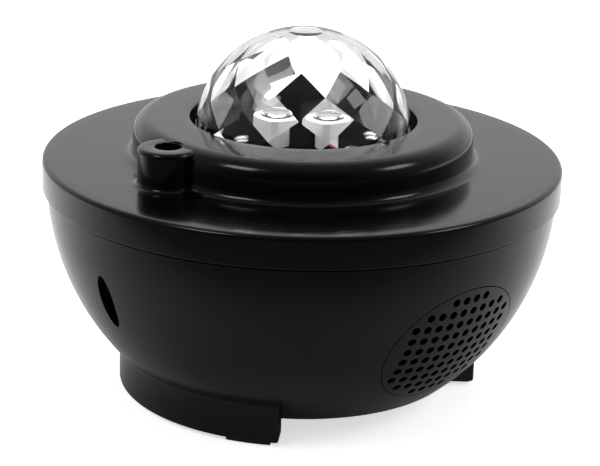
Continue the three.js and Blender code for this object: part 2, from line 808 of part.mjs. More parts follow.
// Laser: a barrel in a holder that drops through the deck, under the grating gear
const laserRadius = 6;
const laserDrop = 19.3;
const laserLength = 21.5;
const laserLow = chassisBottom - laserDrop;
const laserNozzle = 2.4;
const laserFit = 0.3;
const holderWall = 2;
const holderRadius = laserRadius + laserFit + holderWall;
const holderLength = 14.3;
const holderLow = chassisBottom - holderLength;
const holderFlangeRadius = 11.5;
const holderFlangeThickness = 1.6;
const noseRadius = 4.9;
const noseShort = 0.8;
const noseTop = gearHigh - noseShort;
const noseBore = 3.2;
const noseShoulder = 6.3;
const gratingRadius = 6.4;
const gratingThickness = 0.6;

function laser() {
  const laserTop = laserLow + laserLength;
  const flangeLow = chassisTop + seatGap;
  const flangeHigh = flangeLow + holderFlangeThickness;
  place('laser_module', cut(
    rod(laserRadius, laserLow, laserTop, -gearCircle),
    rod(laserNozzle, laserTop - laserNozzle, laserTop + overrun, -gearCircle, 0, tinySides),
  ), 'brass');
  place('laser_holder', turned([
    [noseBore, laserTop + seatGap],
    [noseBore, noseTop],
    [noseRadius, noseTop],
    [noseRadius, gearLow - seatGap],
    [noseShoulder, gearLow - seatGap],
    [noseShoulder, flangeHigh],
    [holderFlangeRadius, flangeHigh],
    [holderFlangeRadius, flangeLow],
    [holderRadius, flangeLow],
    [holderRadius, holderLow],
    [laserRadius + laserFit, holderLow],
    [laserRadius + laserFit, laserTop + seatGap],
  ], smallSides).translate(-gearCircle, 0, 0), 'frame');
  const bore = rod(noseRadius + seatGap, gearLow - overrun, gearHigh + overrun);
  const wheel = cut(gear(pinionTeeth, pinionFlankSteps, gearLow, gearHigh), bore);
  place('grating_gear', wheel.translate(-gearCircle, 0, 0), 'nylon');
  const filmLow = gearHigh + seatGap;
  place('grating_disc', rod(gratingRadius, filmLow, filmLow + gratingThickness, -gearCircle), 'crystal');
}

// Lamps: a heat sink, a round board and four square reflector cups inside the dome
const sinkRadius = 24;
const sinkThickness = 3;
const lampBoardRadius = 22.5;
const lampCount = 4;
const lampCircle = 11.6;
const lampHalf = 5.2;
const lampHeight = 9;
const cupMouth = 4.3;
const cupThroat = 1.8;
const sinkLow = pedestalTop + seatGap;
const lampBoardLow = sinkLow + sinkThickness + seatGap;
const lampLow = lampBoardLow + boardThickness + seatGap;

function lamps() {
  const [wireX, wireY] = polar(deckWireCircle, deckWireAngle);
  const wireHole = rod(deckWireHole, pedestalTop - overrun, lampLow + overrun, wireX, wireY, tinySides);
  const sink = rod(sinkRadius, sinkLow, sinkLow + sinkThickness, 0, 0, roundSides);
  place('led_heatsink', cut(sink, wireHole), 'aluminium');
  const board = rod(lampBoardRadius, lampBoardLow, lampBoardLow + boardThickness, 0, 0, roundSides);
  place('led_board', cut(board, wireHole), 'blackBoard');
  for (let i = 0; i < lampCount; i += 1) {
    const angle = (turn * i) / lampCount;
    const [x, y] = polar(lampCircle, angle);
    const body = block(around(0, lampHalf), around(0, lampHalf), [lampLow, lampLow + lampHeight]);
    const cup = turned([
      [0, lampLow - overrun],
      [cupThroat, lampLow - overrun],
      [cupThroat, lampLow + cupThroat],
      [cupMouth, lampLow + lampHeight - cupThroat / 2],
      [cupMouth, lampLow + lampHeight + overrun],
      [0, lampLow + lampHeight + overrun],
    ], tinySides);
    place(`led_reflector_${i + 1}`, cut(body, cup).rotateZ(rad(angle)).translate(x, y, 0), 'silvered');
  }
}

// Boards and what they carry
const mainBoardHalf = [31, 22];
const mainBoardLift = 6.2;
const mainBoardLow = baseHeight + mainBoardLift;
const standoffRadius = 2.4;
const boardInset = 3.5;
const chipHalf = 6;
const chipHeight = 1.8;
const capacitorRadius = 4;
const capacitorHeight = 11;
const capacitorPlace = [14, 9];
const boardCorners = [[-1, -1], [1, -1], [1, 1], [-1, 1]].map(([x, y]) => [
  x * (mainBoardHalf[0] - boardInset), y * (mainBoardHalf[1] - boardInset),
]);
const mainBoardTop = mainBoardLow + boardThickness;
const inletBoardHalf = [6, 10.5];

function boards() {
  const boardSpan = [mainBoardLow, mainBoardTop];
  place('main_board', block(around(0, mainBoardHalf[0]), around(0, mainBoardHalf[1]), boardSpan), 'board');
  const onBoard = mainBoardTop + seatGap;
  const chip = block(around(0, chipHalf), around(0, chipHalf), [onBoard, onBoard + chipHeight]);
  place('controller_chip', chip, 'chip');
  const capacitor = rod(capacitorRadius, onBoard, onBoard + capacitorHeight, ...capacitorPlace, smallSides);
  place('board_capacitor', capacitor, 'aluminium');

  const boardFace = -inletBack + seatGap;
  place('inlet_board', block(
    [boardFace, boardFace + boardThickness],
    around(0, inletBoardHalf[0]),
    around(inletHeight, inletBoardHalf[1]),
  ), 'board');
  const socket = block(
    [-inletFloor - socketReach, boardFace - seatGap],
    around(0, socketHalfWidth),
    around(inletHeight, socketHalfHeight),
  );
  const mouthInset = socketHalfWidth / 3;
  const mouth = block(
    [-inletFloor - socketReach - overrun, -inletFloor + socketReach / 2],
    around(0, socketHalfWidth - mouthInset),
    around(inletHeight, socketHalfHeight - mouthInset),
  );
  place('power_socket', cut(socket, mouth), 'steel');

  place('control_board', block(
    around(0, controlHalfWidth), [controlFace - boardThickness, controlFace], [controlLow, controlHigh],
  ), 'board');
}

// Each button is a cap over a switch whose plunger moves with it
function buttons() {
  const switchLow = controlFace + seatGap;
  const switchTop = switchLow + switchHeight;
  const plungerLow = switchTop - plungerSocket + buttonTravel + seatGap;
  const plungerTop = switchTop + buttonTravel + seatGap;
  const collarLow = plungerTop + seatGap;
  for (let i = 0; i < buttonCount; i += 1) {
    const x = buttonX(i);
    const half = switchSize / 2;
    const body = block(around(x, half), [switchLow, switchTop], around(buttonHeight, half));
    const socketLow = switchTop - plungerSocket;
    const bore = rod(plungerRadius + seatGap, socketLow, switchTop + overrun, 0, 0, tinySides);
    place(`switch_body_${i + 1}`, cut(body, alongY(bore, x, buttonHeight)), 'chip');
    const plunger = rod(plungerRadius, plungerLow, plungerTop, 0, 0, tinySides);
    place(`switch_plunger_${i + 1}`, alongY(plunger, x, buttonHeight), 'whitePlastic');
    const face = buttonFace(x);
    const cap = turned([
      [0, collarLow],
      [buttonRadius + buttonCollar, collarLow],
      [buttonRadius + buttonCollar, collarLow + buttonCollarThickness],
      [buttonRadius, collarLow + buttonCollarThickness],
      [buttonRadius, face - buttonProud / 2],
      [buttonRadius - buttonProud / 2, face],
      [0, face],
    ], smallSides);
    place(`button_cap_${i + 1}`, alongY(cap, x, buttonHeight), 'shell');
  }
}

// Wires between the boards and what they feed, as smooth round leads
const wireRadius = 0.8;
const wireSteps = 14;
const leadInset = 4;
const motorLeadEnd = [24, 6];
const laserLeadEnd = [-24, -6];
const lampLeadEnd = [12, -14];
const speakerLeadEnd = [-2, -15];
const speakerLeadPlace = [5, -10];
const lampLeadAngle = 27;
const lampLeadRise = 3;

// Routes as [share of the way across, share of the height still to drop]
const droppedShares = [[0, 1], [0.03, 0.69], [0.33, 0.37], [0.73, 0.29], [0.97, 0.2], [1, 0]];
const lampDropShares = [[0, 1], [0, 0.9], [0.12, 0.68], [0.35, 0.43], [0.85, 0.16], [1, 0]];
const speakerDropShares = [[0, 1], [0.11, 1.06], [0.4, 0.76], [0.75, 0.4], [0.97, 0.17], [1, 0]];
const lampArchShares = [[1, 0], [0.75, 0.8], [0.35, 1]];

function sweep(from, to, shares) {
  return shares.map(([across, height]) => [
    from[0] + (to[0] - from[0]) * across,
    from[1] + (to[1] - from[1]) * across,
    to[2] + (from[2] - to[2]) * height,
  ]);
}

function wire(name, points, finish) {
  const curve = new THREE.CatmullRomCurve3(points.map((point) => new THREE.Vector3(...point)));
  const section = new THREE.Shape();
  for (let i = 0; i < wireSides; i += 1) {
    const angle = (2 * Math.PI * i) / wireSides;
    const point = [wireRadius * Math.cos(angle), wireRadius * Math.sin(angle)];
    if (i === 0) section.moveTo(...point);
    else section.lineTo(...point);
  }
  section.closePath();
  place(name, new THREE.ExtrudeGeometry(section, { steps: wireSteps, extrudePath: curve }), finish);
}

function wires() {
  const onBoard = mainBoardTop + seatGap;
  const lampTop = lampBoardLow + boardThickness + seatGap + wireRadius;
  const arch = lampArchShares.map(([along, up]) => [
    ...polar(deckWireCircle, deckWireAngle - lampLeadAngle * along), lampTop + lampLeadRise * up,
  ]);
  const hole = [...polar(deckWireCircle, deckWireAngle), lampTop];
  wire('led_wire', [...arch, ...sweep(hole, [...lampLeadEnd, onBoard], lampDropShares)], 'redWire');

  const motorEnd = [gearCircle, leadInset, motorLow - seatGap];
  wire('motor_wire', sweep(motorEnd, [...motorLeadEnd, onBoard], droppedShares), 'blackWire');
  const laserEnd = [-gearCircle, -leadInset / 2, laserLow - seatGap];
  wire('laser_wire', sweep(laserEnd, [...laserLeadEnd, onBoard], droppedShares), 'redWire');

  const onYoke = new THREE.Vector3(...speakerLeadPlace, speakerBack - seatGap);
  onYoke.applyAxisAngle(new THREE.Vector3(1, 0, 0), rad(90 + speakerTilt));
  const speakerEnd = [onYoke.x, onYoke.y, onYoke.z + bowlCentre];
  wire('speaker_wire', sweep(speakerEnd, [...speakerLeadEnd, onBoard], speakerDropShares), 'blackWire');
}

function screws() {
  caseScrewAngles.forEach((angle, i) => {
    const [x, y] = polar(caseScrewCircle, angle);
    const headLow = wellTop - seatGap - caseScrewHeadHeight;
    screw(
      `case_screw_${i + 1}`, x, y, headLow, caseScrewHeadHeight,
      caseScrewHead, caseScrewShank, caseScrewShankLength,
    );
  });
  chassisScrewAngles.forEach((angle, i) => {
    const [x, y] = polar(chassisScrewCircle, angle);
    const headLow = chassisBottom - seatGap - chassisScrewHeadHeight;
    screw(
      `chassis_screw_${i + 1}`, x, y, headLow, chassisScrewHeadHeight,
      chassisScrewHead, chassisScrewShank, chassisScrewShankLength,
    );
  });
  baseScrewAngles.forEach((angle, i) => {
    const [x, y] = polar(baseScrewCircle, angle);
    const headLow = baseHeight - seatGap - baseScrewHeadHeight;
    screw(
      `base_screw_${i + 1}`, x, y, headLow, baseScrewHeadHeight,
      baseScrewHead, baseScrewShank, baseScrewShankLength,
    );
  });
}

topCover();
bowlShell();
baseCover();
pads();
grille();
speaker();
chassis();
turntable();
dome();
drive();
laser();
lamps();
boards();
buttons();
wires();
screws();

export default model;
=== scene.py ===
import json
import math

import bmesh
import bpy
from mathutils import Matrix, Vector


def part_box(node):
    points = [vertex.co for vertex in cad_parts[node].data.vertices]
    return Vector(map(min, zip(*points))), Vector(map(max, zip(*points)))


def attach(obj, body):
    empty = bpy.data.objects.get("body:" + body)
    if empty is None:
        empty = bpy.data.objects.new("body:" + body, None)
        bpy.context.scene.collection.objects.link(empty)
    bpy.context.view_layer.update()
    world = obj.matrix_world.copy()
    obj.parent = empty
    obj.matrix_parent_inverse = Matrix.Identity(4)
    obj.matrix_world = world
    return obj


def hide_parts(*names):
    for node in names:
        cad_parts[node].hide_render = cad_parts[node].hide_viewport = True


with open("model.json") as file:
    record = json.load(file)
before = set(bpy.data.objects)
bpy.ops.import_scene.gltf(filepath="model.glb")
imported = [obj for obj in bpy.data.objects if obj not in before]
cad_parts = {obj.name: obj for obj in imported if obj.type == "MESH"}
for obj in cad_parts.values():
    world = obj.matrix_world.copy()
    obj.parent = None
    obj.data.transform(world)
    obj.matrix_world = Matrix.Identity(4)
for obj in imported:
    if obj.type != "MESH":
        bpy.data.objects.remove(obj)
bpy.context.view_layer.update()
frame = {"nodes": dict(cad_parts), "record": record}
print("frame loaded:", len(frame["nodes"]), "nodes")

mm = 0.001
fullTurn = 2 * math.pi
overrun = mm  # how far a cutting tool reaches past what it cuts
weldDistance = 0.001 * mm
sliver = 0.0005 * mm
sharpAngle = math.radians(40)

# The camera stands where the photograph was taken from
view = {
    "azimuth": -41.0,
    "elevation": 18.68,
    "distance": 765 * mm,
    "sensor": 36,
    "lens": 142.56,
    "nearest": 10 * mm,
    "roll": 1.55,
    "target": (-0.14 * mm, 49.99 * mm),
}


def facingAxes():
    # the camera's level directions: to its right and away from it
    azimuth = math.radians(view["azimuth"])
    right = Vector((math.cos(azimuth), math.sin(azimuth), 0))
    return right, Vector((-math.sin(azimuth), math.cos(azimuth), 0))


def addCamera():
    right, level = facingAxes()
    elevation = math.radians(view["elevation"])
    ahead = level * math.cos(elevation) - Vector((0, 0, math.sin(elevation)))
    side, height = view["target"]
    target = right * side + Vector((0, 0, height))
    data = bpy.data.cameras.new("camera")
    data.sensor_fit = "HORIZONTAL"
    data.sensor_width = view["sensor"]
    data.lens = view["lens"]
    data.clip_start = view["nearest"]
    camera = bpy.data.objects.new("camera", data)
    upright = ahead.to_track_quat("-Z", "Y").to_matrix().to_4x4()
    roll = Matrix.Rotation(math.radians(view["roll"]), 4, "Z")
    camera.matrix_world = Matrix.Translation(target - ahead * view["distance"]) @ upright @ roll
    bpy.context.scene.collection.objects.link(camera)
    bpy.context.scene.camera = camera


# Shared shaping helpers


def arcPoints(radius, height, size, start, end, steps):
    # points of an arc in the profile plane, angles in degrees
    points = []
    for i in range(steps + 1):
        angle = math.radians(start + (end - start) * i / steps)
        points.append((radius + size * math.cos(angle), height + size * math.sin(angle)))
    return points


def ovalPoints(reach, height, rise, steps):
    # points of a flattened dome, from its rim to just before its top
    angles = [math.pi / 2 * i / steps for i in range(steps)]
    return [(reach * math.cos(angle), height + rise * math.sin(angle)) for angle in angles]


def halfChord(size, offset):
    # half the width of a circle at this distance from its centre
    return math.sqrt(size ** 2 - offset ** 2)


def polar(radius, degrees):
    # place on a circle, measured from the speaker side towards +X
    angle = math.radians(degrees)
    return radius * math.sin(angle), -radius * math.cos(angle)


def spinProfile(points, steps=192, angle=fullTurn):
    # turns a closed profile of (radius, height) points about the z axis
    bm = bmesh.new()
    face = bm.faces.new([bm.verts.new((radius, 0, height)) for radius, height in points])
    if angle < fullTurn:
        bmesh.ops.spin(bm, geom=[face], cent=(0, 0, 0), axis=(0, 0, 1), angle=angle, steps=steps)
    else:
        bmesh.ops.delete(bm, geom=[face], context="FACES_ONLY")
        bmesh.ops.spin(
            bm, geom=bm.verts[:] + bm.edges[:], cent=(0, 0, 0), axis=(0, 0, 1),
            angle=fullTurn, steps=steps, use_merge=True,
        )
    bmesh.ops.remove_doubles(bm, verts=bm.verts[:], dist=weldDistance)
    bmesh.ops.recalc_face_normals(bm, faces=bm.faces[:])
    return bm


def addRod(bm, radius, low, high, place=(0, 0), segments=32, turnBy=Matrix.Identity(4), scale=(1, 1)):
    # an upright rod between two heights, optionally oval and turned
    shape = Matrix.Translation((*place, (low + high) / 2)) @ Matrix.Diagonal((*scale, 1, 1))
    bmesh.ops.create_cone(
        bm, cap_ends=True, segments=segments, radius1=radius, radius2=radius,
        depth=high - low, matrix=turnBy @ shape,
    )


def addBlock(bm, size, centre):
    bmesh.ops.create_cube(bm, size=1, matrix=Matrix.Translation(centre) @ Matrix.Diagonal((*size, 1)))


def addMesh(bm, piece):
    # copies one mesh into another
    mesh = bpy.data.meshes.new("piece")
    piece.to_mesh(mesh)
    piece.free()
    bm.from_mesh(mesh)
    bpy.data.meshes.remove(mesh)


def bevelEdges(bm, edges, size, segments):
    bmesh.ops.bevel(
        bm, geom=edges, offset=size, affect="EDGES", segments=segments, profile=0.5, material=-1,
    )


def moveMesh(bm, matrix):
    bmesh.ops.transform(bm, matrix=matrix, verts=bm.verts[:])


def makeObject(name, bm):
    mesh = bpy.data.meshes.new(name)
    bm.to_mesh(mesh)
    bm.free()
    obj = bpy.data.objects.new(name, mesh)
    bpy.context.scene.collection.objects.link(obj)
    return obj


def takeMesh(obj):
    # the mesh of a helper object, which is removed
    bm = bmesh.new()
    bm.from_mesh(obj.data)
    bpy.data.objects.remove(obj)
    return bm


def carve(obj, bm, operation="DIFFERENCE"):
    # joins, cuts or trims an object with a tool mesh, and removes the tool
    tool = makeObject("tool", bm)
    modifier = obj.modifiers.new("carve", "BOOLEAN")
    modifier.operation = operation
    modifier.solver = "EXACT"
    modifier.object = tool
    bpy.context.view_layer.update()
    depsgraph = bpy.context.evaluated_depsgraph_get()
    result = bpy.data.meshes.new_from_object(obj.evaluated_get(depsgraph))
    obj.modifiers.clear()
    old = obj.data
    obj.data = result
    bpy.data.meshes.remove(old)
    bpy.data.objects.remove(tool)


def smoothByAngle(obj, limit):
    bm = bmesh.new()
    bm.from_mesh(obj.data)
    bmesh.ops.dissolve_degenerate(bm, dist=sliver, edges=bm.edges[:])
    for face in bm.faces:
        face.smooth = True
    for edge in bm.edges:
        flat = len(edge.link_faces) != 2 or edge.calc_face_angle(math.pi) > math.radians(limit)
        edge.smooth = not flat
    bm.to_mesh(obj.data)
    bm.free()


def finishPiece(obj, body, slot, *nodes, material=None, limit=32):
    # smooths a piece, gives it the material of its slot, attaches it to its body and hides the nodes that it
    # replaces
    smoothByAngle(obj, limit)
    obj.data.materials.clear()
    obj.data.materials.append(material or materials[slot])
    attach(obj, body)
    if nodes:
        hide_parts(*nodes)


# Materials

socketBand = (0.3, 0.7)
toneBand = (0.35, 0.65)
graining = {"patches": 45, "detail": 2.0, "bump": 0.25}
brushing = {"scale": 900, "stretch": (1, 1, 12), "spread": (0.75, 1.35), "bump": 0.2, "depth": 0.02 * mm}
acrylic = {"tint": (0.985, 0.99, 0.992), "index": 1.49, "smudges": 60, "roughness": (0.0, 0.035)}
silvering = {
    "metallic": 0.3,
    "patches": 170,
    "detail": 2.0,
    "dark": (0.76, 0.77, 0.78),
    "light": (0.98, 0.98, 0.98),
    "waves": 260,
    "roughness": (0.08, 0.25),
    "bump": 0.5,
    "depth": 0.3 * mm,
}


def newMaterial(name, color, roughness, **sockets):
    material = bpy.data.materials.new(name)
    material.use_nodes = True
    shader = material.node_tree.nodes["Principled BSDF"]
    shader.inputs["Base Color"].default_value = (*color, 1)
    shader.inputs["Roughness"].default_value = roughness
    for socket, value in sockets.items():
        shader.inputs[socket.replace("_", " ")].default_value = value
    return material, material.node_tree, shader


def noiseNode(tree, scale, detail=3.0):
    place = tree.nodes.new("ShaderNodeTexCoord")
    noise = tree.nodes.new("ShaderNodeTexNoise")
    noise.inputs["Scale"].default_value = scale
    noise.inputs["Detail"].default_value = detail
    tree.links.new(place.outputs["Object"], noise.inputs["Vector"])
    return noise


def varySocket(tree, noise, socket, low, high):
    spread = tree.nodes.new("ShaderNodeMapRange")
    for name, value in zip(("From Min", "From Max", "To Min", "To Max"), (*socketBand, low, high)):
        spread.inputs[name].default_value = value
    tree.links.new(noise.outputs["Fac"], spread.inputs["Value"])
    tree.links.new(spread.outputs["Result"], socket)


def varyColor(tree, noise, socket, dark, light):
    ramp = tree.nodes.new("ShaderNodeValToRGB")
    for element, position, color in zip(ramp.color_ramp.elements, toneBand, (dark, light)):
        element.position = position
        element.color = (*color, 1)
    tree.links.new(noise.outputs["Fac"], ramp.inputs["Fac"])
    tree.links.new(ramp.outputs["Color"], socket)


def addBump(tree, noise, shader, strength, distance):
    bump = tree.nodes.new("ShaderNodeBump")
    bump.inputs["Strength"].default_value = strength
    bump.inputs["Distance"].default_value = distance
    tree.links.new(noise.outputs["Fac"], bump.inputs["Height"])
    tree.links.new(bump.outputs["Normal"], shader.inputs["Normal"])


def grainedPlastic(name, dark, light, roughness, grain, depth, **sockets):
    # moulded plastic: faint patches in tone and gloss over a fine grain
    material, tree, shader = newMaterial(name, dark, sum(roughness) / 2, **sockets)
    broad = noiseNode(tree, graining["patches"])
    varyColor(tree, broad, shader.inputs["Base Color"], dark, light)
    varySocket(tree, broad, shader.inputs["Roughness"], *roughness)
    addBump(tree, noiseNode(tree, grain, graining["detail"]), shader, graining["bump"], depth * mm)
    return material


def clearAcrylic():
    a = acrylic
    material, tree, shader = newMaterial(
        "clearAcrylic", a["tint"], sum(a["roughness"]) / 2, Transmission_Weight=1.0, IOR=a["index"],
    )
    varySocket(tree, noiseNode(tree, a["smudges"]), shader.inputs["Roughness"], *a["roughness"])
    return material


def silveredPlastic():
    # thin pale metal coat on white plastic, creased and uneven
    s = silvering
    material, tree, shader = newMaterial(
        "silveredPlastic", s["light"], sum(s["roughness"]) / 2, Metallic=s["metallic"],
    )
    patches = noiseNode(tree, s["patches"], s["detail"])
    varyColor(tree, patches, shader.inputs["Base Color"], s["dark"], s["light"])
    waves = noiseNode(tree, s["waves"])
    varySocket(tree, waves, shader.inputs["Roughness"], *s["roughness"])
    addBump(tree, waves, shader, s["bump"], s["depth"])
    return material


def brushedMetal(name, color, roughness):
    b = brushing
    material, tree, shader = newMaterial(name, color, roughness, Metallic=1.0)
    place = tree.nodes.new("ShaderNodeTexCoord")
    mapping = tree.nodes.new("ShaderNodeMapping")
    mapping.inputs["Scale"].default_value = b["stretch"]
    noise = tree.nodes.new("ShaderNodeTexNoise")
    noise.inputs["Scale"].default_value = b["scale"]
    tree.links.new(place.outputs["Object"], mapping.inputs["Vector"])
    tree.links.new(mapping.outputs["Vector"], noise.inputs["Vector"])
    varySocket(tree, noise, shader.inputs["Roughness"], *[roughness * share for share in b["spread"]])
    addBump(tree, noise, shader, b["bump"], b["depth"])
    return material


# slot: name, dark and light tone, range of roughness, scale of the grain and its depth in mm
plastics = {
    "shell": ("blackShell", (0.0004, 0.0004, 0.0005), (0.0009, 0.0009, 0.001), (0.13, 0.18), 2600, 0.012),
    "frame": ("darkPlastic", (0.002, 0.002, 0.0022), (0.0035, 0.0035, 0.0038), (0.42, 0.55), 1500, 0.03),
    "rubber": ("blackRubber", (0.008, 0.008, 0.008), (0.02, 0.02, 0.02), (0.75, 0.9), 1800, 0.06),
    "nylon": ("naturalNylon", (0.62, 0.6, 0.53), (0.72, 0.7, 0.63), (0.4, 0.5), 1500, 0.02),
    "white_plastic": ("whitePlastic", (0.86, 0.86, 0.85), (0.9, 0.9, 0.89), (0.22, 0.3), 1500, 0.01),
    "ferrite": ("ferrite", (0.02, 0.02, 0.022), (0.04, 0.04, 0.042), (0.55, 0.7), 1200, 0.05),
    "paper": ("coatedPaper", (0.012, 0.012, 0.012), (0.02, 0.02, 0.02), (0.7, 0.85), 2200, 0.08),
    "board": ("greenBoard", (0.012, 0.09, 0.032), (0.02, 0.12, 0.045), (0.3, 0.42), 1400, 0.02),
    "black_board": ("blackBoard", (0.002, 0.002, 0.002), (0.004, 0.004, 0.004), (0.8, 0.9), 1400, 0.02),
    "chip": ("chipEpoxy", (0.008, 0.008, 0.008), (0.014, 0.014, 0.014), (0.4, 0.55), 2600, 0.03),
    "red_wire": ("redLead", (0.24, 0.006, 0.008), (0.3, 0.008, 0.011), (0.35, 0.45), 900, 0.02),
    "black_wire": ("blackLead", (0.008, 0.008, 0.008), (0.014, 0.014, 0.014), (0.35, 0.45), 900, 0.02),
}
plasticSockets = {"black_board": {"Specular_IOR_Level": 0.0}}
metals = {
    "aluminium": ("brushedAluminium", (0.62, 0.63, 0.64), 0.34),
    "steel": ("platedSteel", (0.5, 0.51, 0.52), 0.28),
    "brass": ("turnedBrass", (0.6, 0.42, 0.17), 0.25),
}
materials = {
    "crystal": clearAcrylic(),
    "silvered": silveredPlastic(),
    **{slot: grainedPlastic(*row, **plasticSockets.get(slot, {})) for slot, row in plastics.items()},
    **{slot: brushedMetal(*row) for slot, row in metals.items()},
}


def dressNodes():
    # the CAD nodes that stay take the finish of their slot
    slotOf = {part["node"]: part["material_slot"] for part in frame["record"]["subparts"]}
    for name, obj in frame["nodes"].items():
        obj.data.materials.clear()
        obj.data.materials.append(materials[slotOf[name]])


# Case: the top cover

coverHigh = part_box("top_cover")[1]
cover = {
    "flangeRadius": coverHigh.x,
    "flangeTop": 76.5 * mm,
    "flangeStep": 4 * mm,
    "seam": 66.4 * mm,
    "wall": 2.2 * mm,
    "skirtInner": 79.6 * mm,
    "skirtEdge": 0.5 * mm,
    "edgeFillet": 1.5 * mm,
    "ringRadius": 54 * mm,
    "ringTop": coverHigh.z,
    "ringFillet": 3 * mm,
    "ringRoll": 5.5 * mm,
    "ringStep": 2.8 * mm,
    "opening": 36 * mm,
    "openingEdge": 0.6 * mm,
    "lipDepth": 8 * mm,
}
boss = {
    "place": (-54 * mm, 0, 0),
    "radius": 9.4 * mm,
    "top": 88.5 * mm,
    "edge": 1.5 * mm,
    "foot": 1.6 * mm,
    "sink": 2 * mm,
    "hole": 4.1 * mm,
    "holeEdge": 0.35 * mm,
    "sides": 96,
    "hollowSides": 72,
}


def coverProfile():
    c = cover
    under = c["flangeTop"] - c["wall"]
    flangeEdge = c["flangeRadius"] - c["edgeFillet"]
    rollAt = (c["ringRadius"] - c["ringRoll"], c["ringTop"] - c["ringRoll"])
    skirtAt = (c["flangeRadius"] - c["skirtEdge"], c["seam"] + c["skirtEdge"])
    footAt = (c["ringRadius"] + c["ringFillet"], c["flangeTop"] + c["ringFillet"])
    lipAt = (c["opening"] + c["openingEdge"], c["ringTop"] - c["openingEdge"])
    return [
        (c["skirtInner"], c["seam"]),
        *arcPoints(*skirtAt, c["skirtEdge"], 270, 360, 4),
        *arcPoints(flangeEdge, c["flangeTop"] - c["edgeFillet"], c["edgeFillet"], 0, 90, 8),
        *[(flangeEdge - i * c["flangeStep"], c["flangeTop"]) for i in range(1, 6)],
        *arcPoints(*footAt, c["ringFillet"], 270, 180, 8),
        *arcPoints(*rollAt, c["ringRoll"], 0, 90, 14),
        *[(rollAt[0] - i * c["ringStep"], c["ringTop"]) for i in range(1, 4)],
        *arcPoints(*lipAt, c["openingEdge"], 90, 180, 5),
        (c["opening"], c["ringTop"] - c["lipDepth"]),
        (c["opening"] + c["wall"], c["ringTop"] - c["lipDepth"]),
        (c["opening"] + c["wall"], c["ringTop"] - c["wall"]),
        *arcPoints(*rollAt, c["ringRoll"] - c["wall"], 90, 0, 5),
        (c["ringRadius"] - c["wall"], under),
        (c["skirtInner"], under),
    ]


def bossMesh():
    b = boss
    flangeTop = cover["flangeTop"]
    footReach = b["radius"] + b["foot"]
    outside = spinProfile([
        (0, flangeTop - b["sink"]),
        (footReach, flangeTop - b["sink"]),
        (footReach, flangeTop),
        *arcPoints(footReach, flangeTop + b["foot"], b["foot"], 270, 180, 6)[1:],
        *arcPoints(b["radius"] - b["edge"], b["top"] - b["edge"], b["edge"], 0, 90, 8),
        (0, b["top"]),
    ], b["sides"])
    moveMesh(outside, Matrix.Translation(b["place"]))
    return outside


def bossHollow():
    b = boss
    low = cover["flangeTop"] - cover["wall"] - overrun
    high = b["top"] - cover["wall"]
    inner = b["radius"] - cover["wall"]
    hollow = spinProfile([
        (0, low),
        (inner, low),
        (inner, high),
        (b["hole"], high),
        *arcPoints(b["hole"] + b["holeEdge"], b["top"] - b["holeEdge"], b["holeEdge"], 180, 90, 4),
        (b["hole"] + b["holeEdge"], b["top"] + overrun),
        (0, b["top"] + overrun),
    ], b["hollowSides"])
    moveMesh(hollow, Matrix.Translation(b["place"]))
    return hollow


def buildCover():
    obj = makeObject("topCover", spinProfile(coverProfile()))
    carve(obj, bossMesh(), "UNION")
    carve(obj, bossHollow())
    finishPiece(obj, "case", "shell", "top_cover")
    print("top cover done:", len(obj.data.polygons), "faces")


# Case: the bowl with its feet, grille seat, power pocket and button holes

bowl = {
    "radius": 81.2 * mm,
    "centre": 70 * mm,
    "wall": 2.2 * mm,
    "base": 6.2 * mm,
    "baseEdge": 1.2 * mm,
    "rim": 79.3 * mm,
    "rimTop": 74 * mm,
    "shoulder": 65.9 * mm,
    "shoulderEdge": 0.3 * mm,
    "ledgeInner": 43.6 * mm,
    "ledgeOuter": 50.1 * mm,
    "ledgeTop": 10.6 * mm,
    "coverOpening": 47.4 * mm,
    "coverSeat": 8.4 * mm,
    "outerSteps": 44,
    "innerSteps": 26,
}
bowlInner = bowl["radius"] - bowl["wall"]
bowlMiddle = bowl["radius"] - bowl["wall"] / 2
feet = {
    "middles": (-90, 90),
    "outer": 57.93 * mm,
    "inner": 48.93 * mm,
    "bottom": 1.2 * mm,
    "halfAngle": 44,
    "edge": 0.8 * mm,
    "fillet": 3 * mm,
    "sinkShare": 0.4,
    "slack": 0.1 * mm,
    "steps": 44,
}
caseScrews = {
    "circle": 53.43 * mm,
    "angles": (-55.8, 55.8, 124.2, 235.8),
    "post": 4.3 * mm,
    "postTop": 19.6 * mm,
    "well": 3.2 * mm,
    "wellTop": 17.4 * mm,
}
grille = {
    "height": 32.56 * mm,
    "halfWidth": 24.4 * mm,
    "halfHeight": 22.6 * mm,
    "gap": 0.28 * mm,
    "seatGap": 0.3 * mm,
    "reach": 27.5 * mm,
    "depth": 8 * mm,
    "pitch": (4.07 * mm, 4.25 * mm),
    "hole": 1.35 * mm,
    "holeSides": 20,
    "rows": (4, 8, 10, 10, 10, 10, 10, 10, 8, 4),
    "collarInner": 24.3 * mm,
    "collarOuter": 27.3 * mm,
    "collarBack": 72 * mm,
    "collarSides": 72,
    "sides": 128,
}
pocket = {
    "height": 43.3 * mm,
    "halfWidth": 3.4 * mm,
    "halfHeight": 8.9 * mm,
    "depth": 6.4 * mm,
    "wall": 2 * mm,
    "sides": 96,
    "wallSides": 64,
}
buttons = {
    "height": 52.5 * mm,
    "pitch": 15 * mm,
    "count": 3,
    "radius": 3.6 * mm,
    "gap": 0.3 * mm,
    "switchFace": 64.94 * mm,
    "sides": 48,
}
boardPosts = {"radius": 2.2 * mm, "gap": 0.3 * mm, "x": (-24 * mm, 24 * mm), "z": (40.5 * mm, 57.5 * mm)}
ball = {"u_segments": 96, "v_segments": 64}

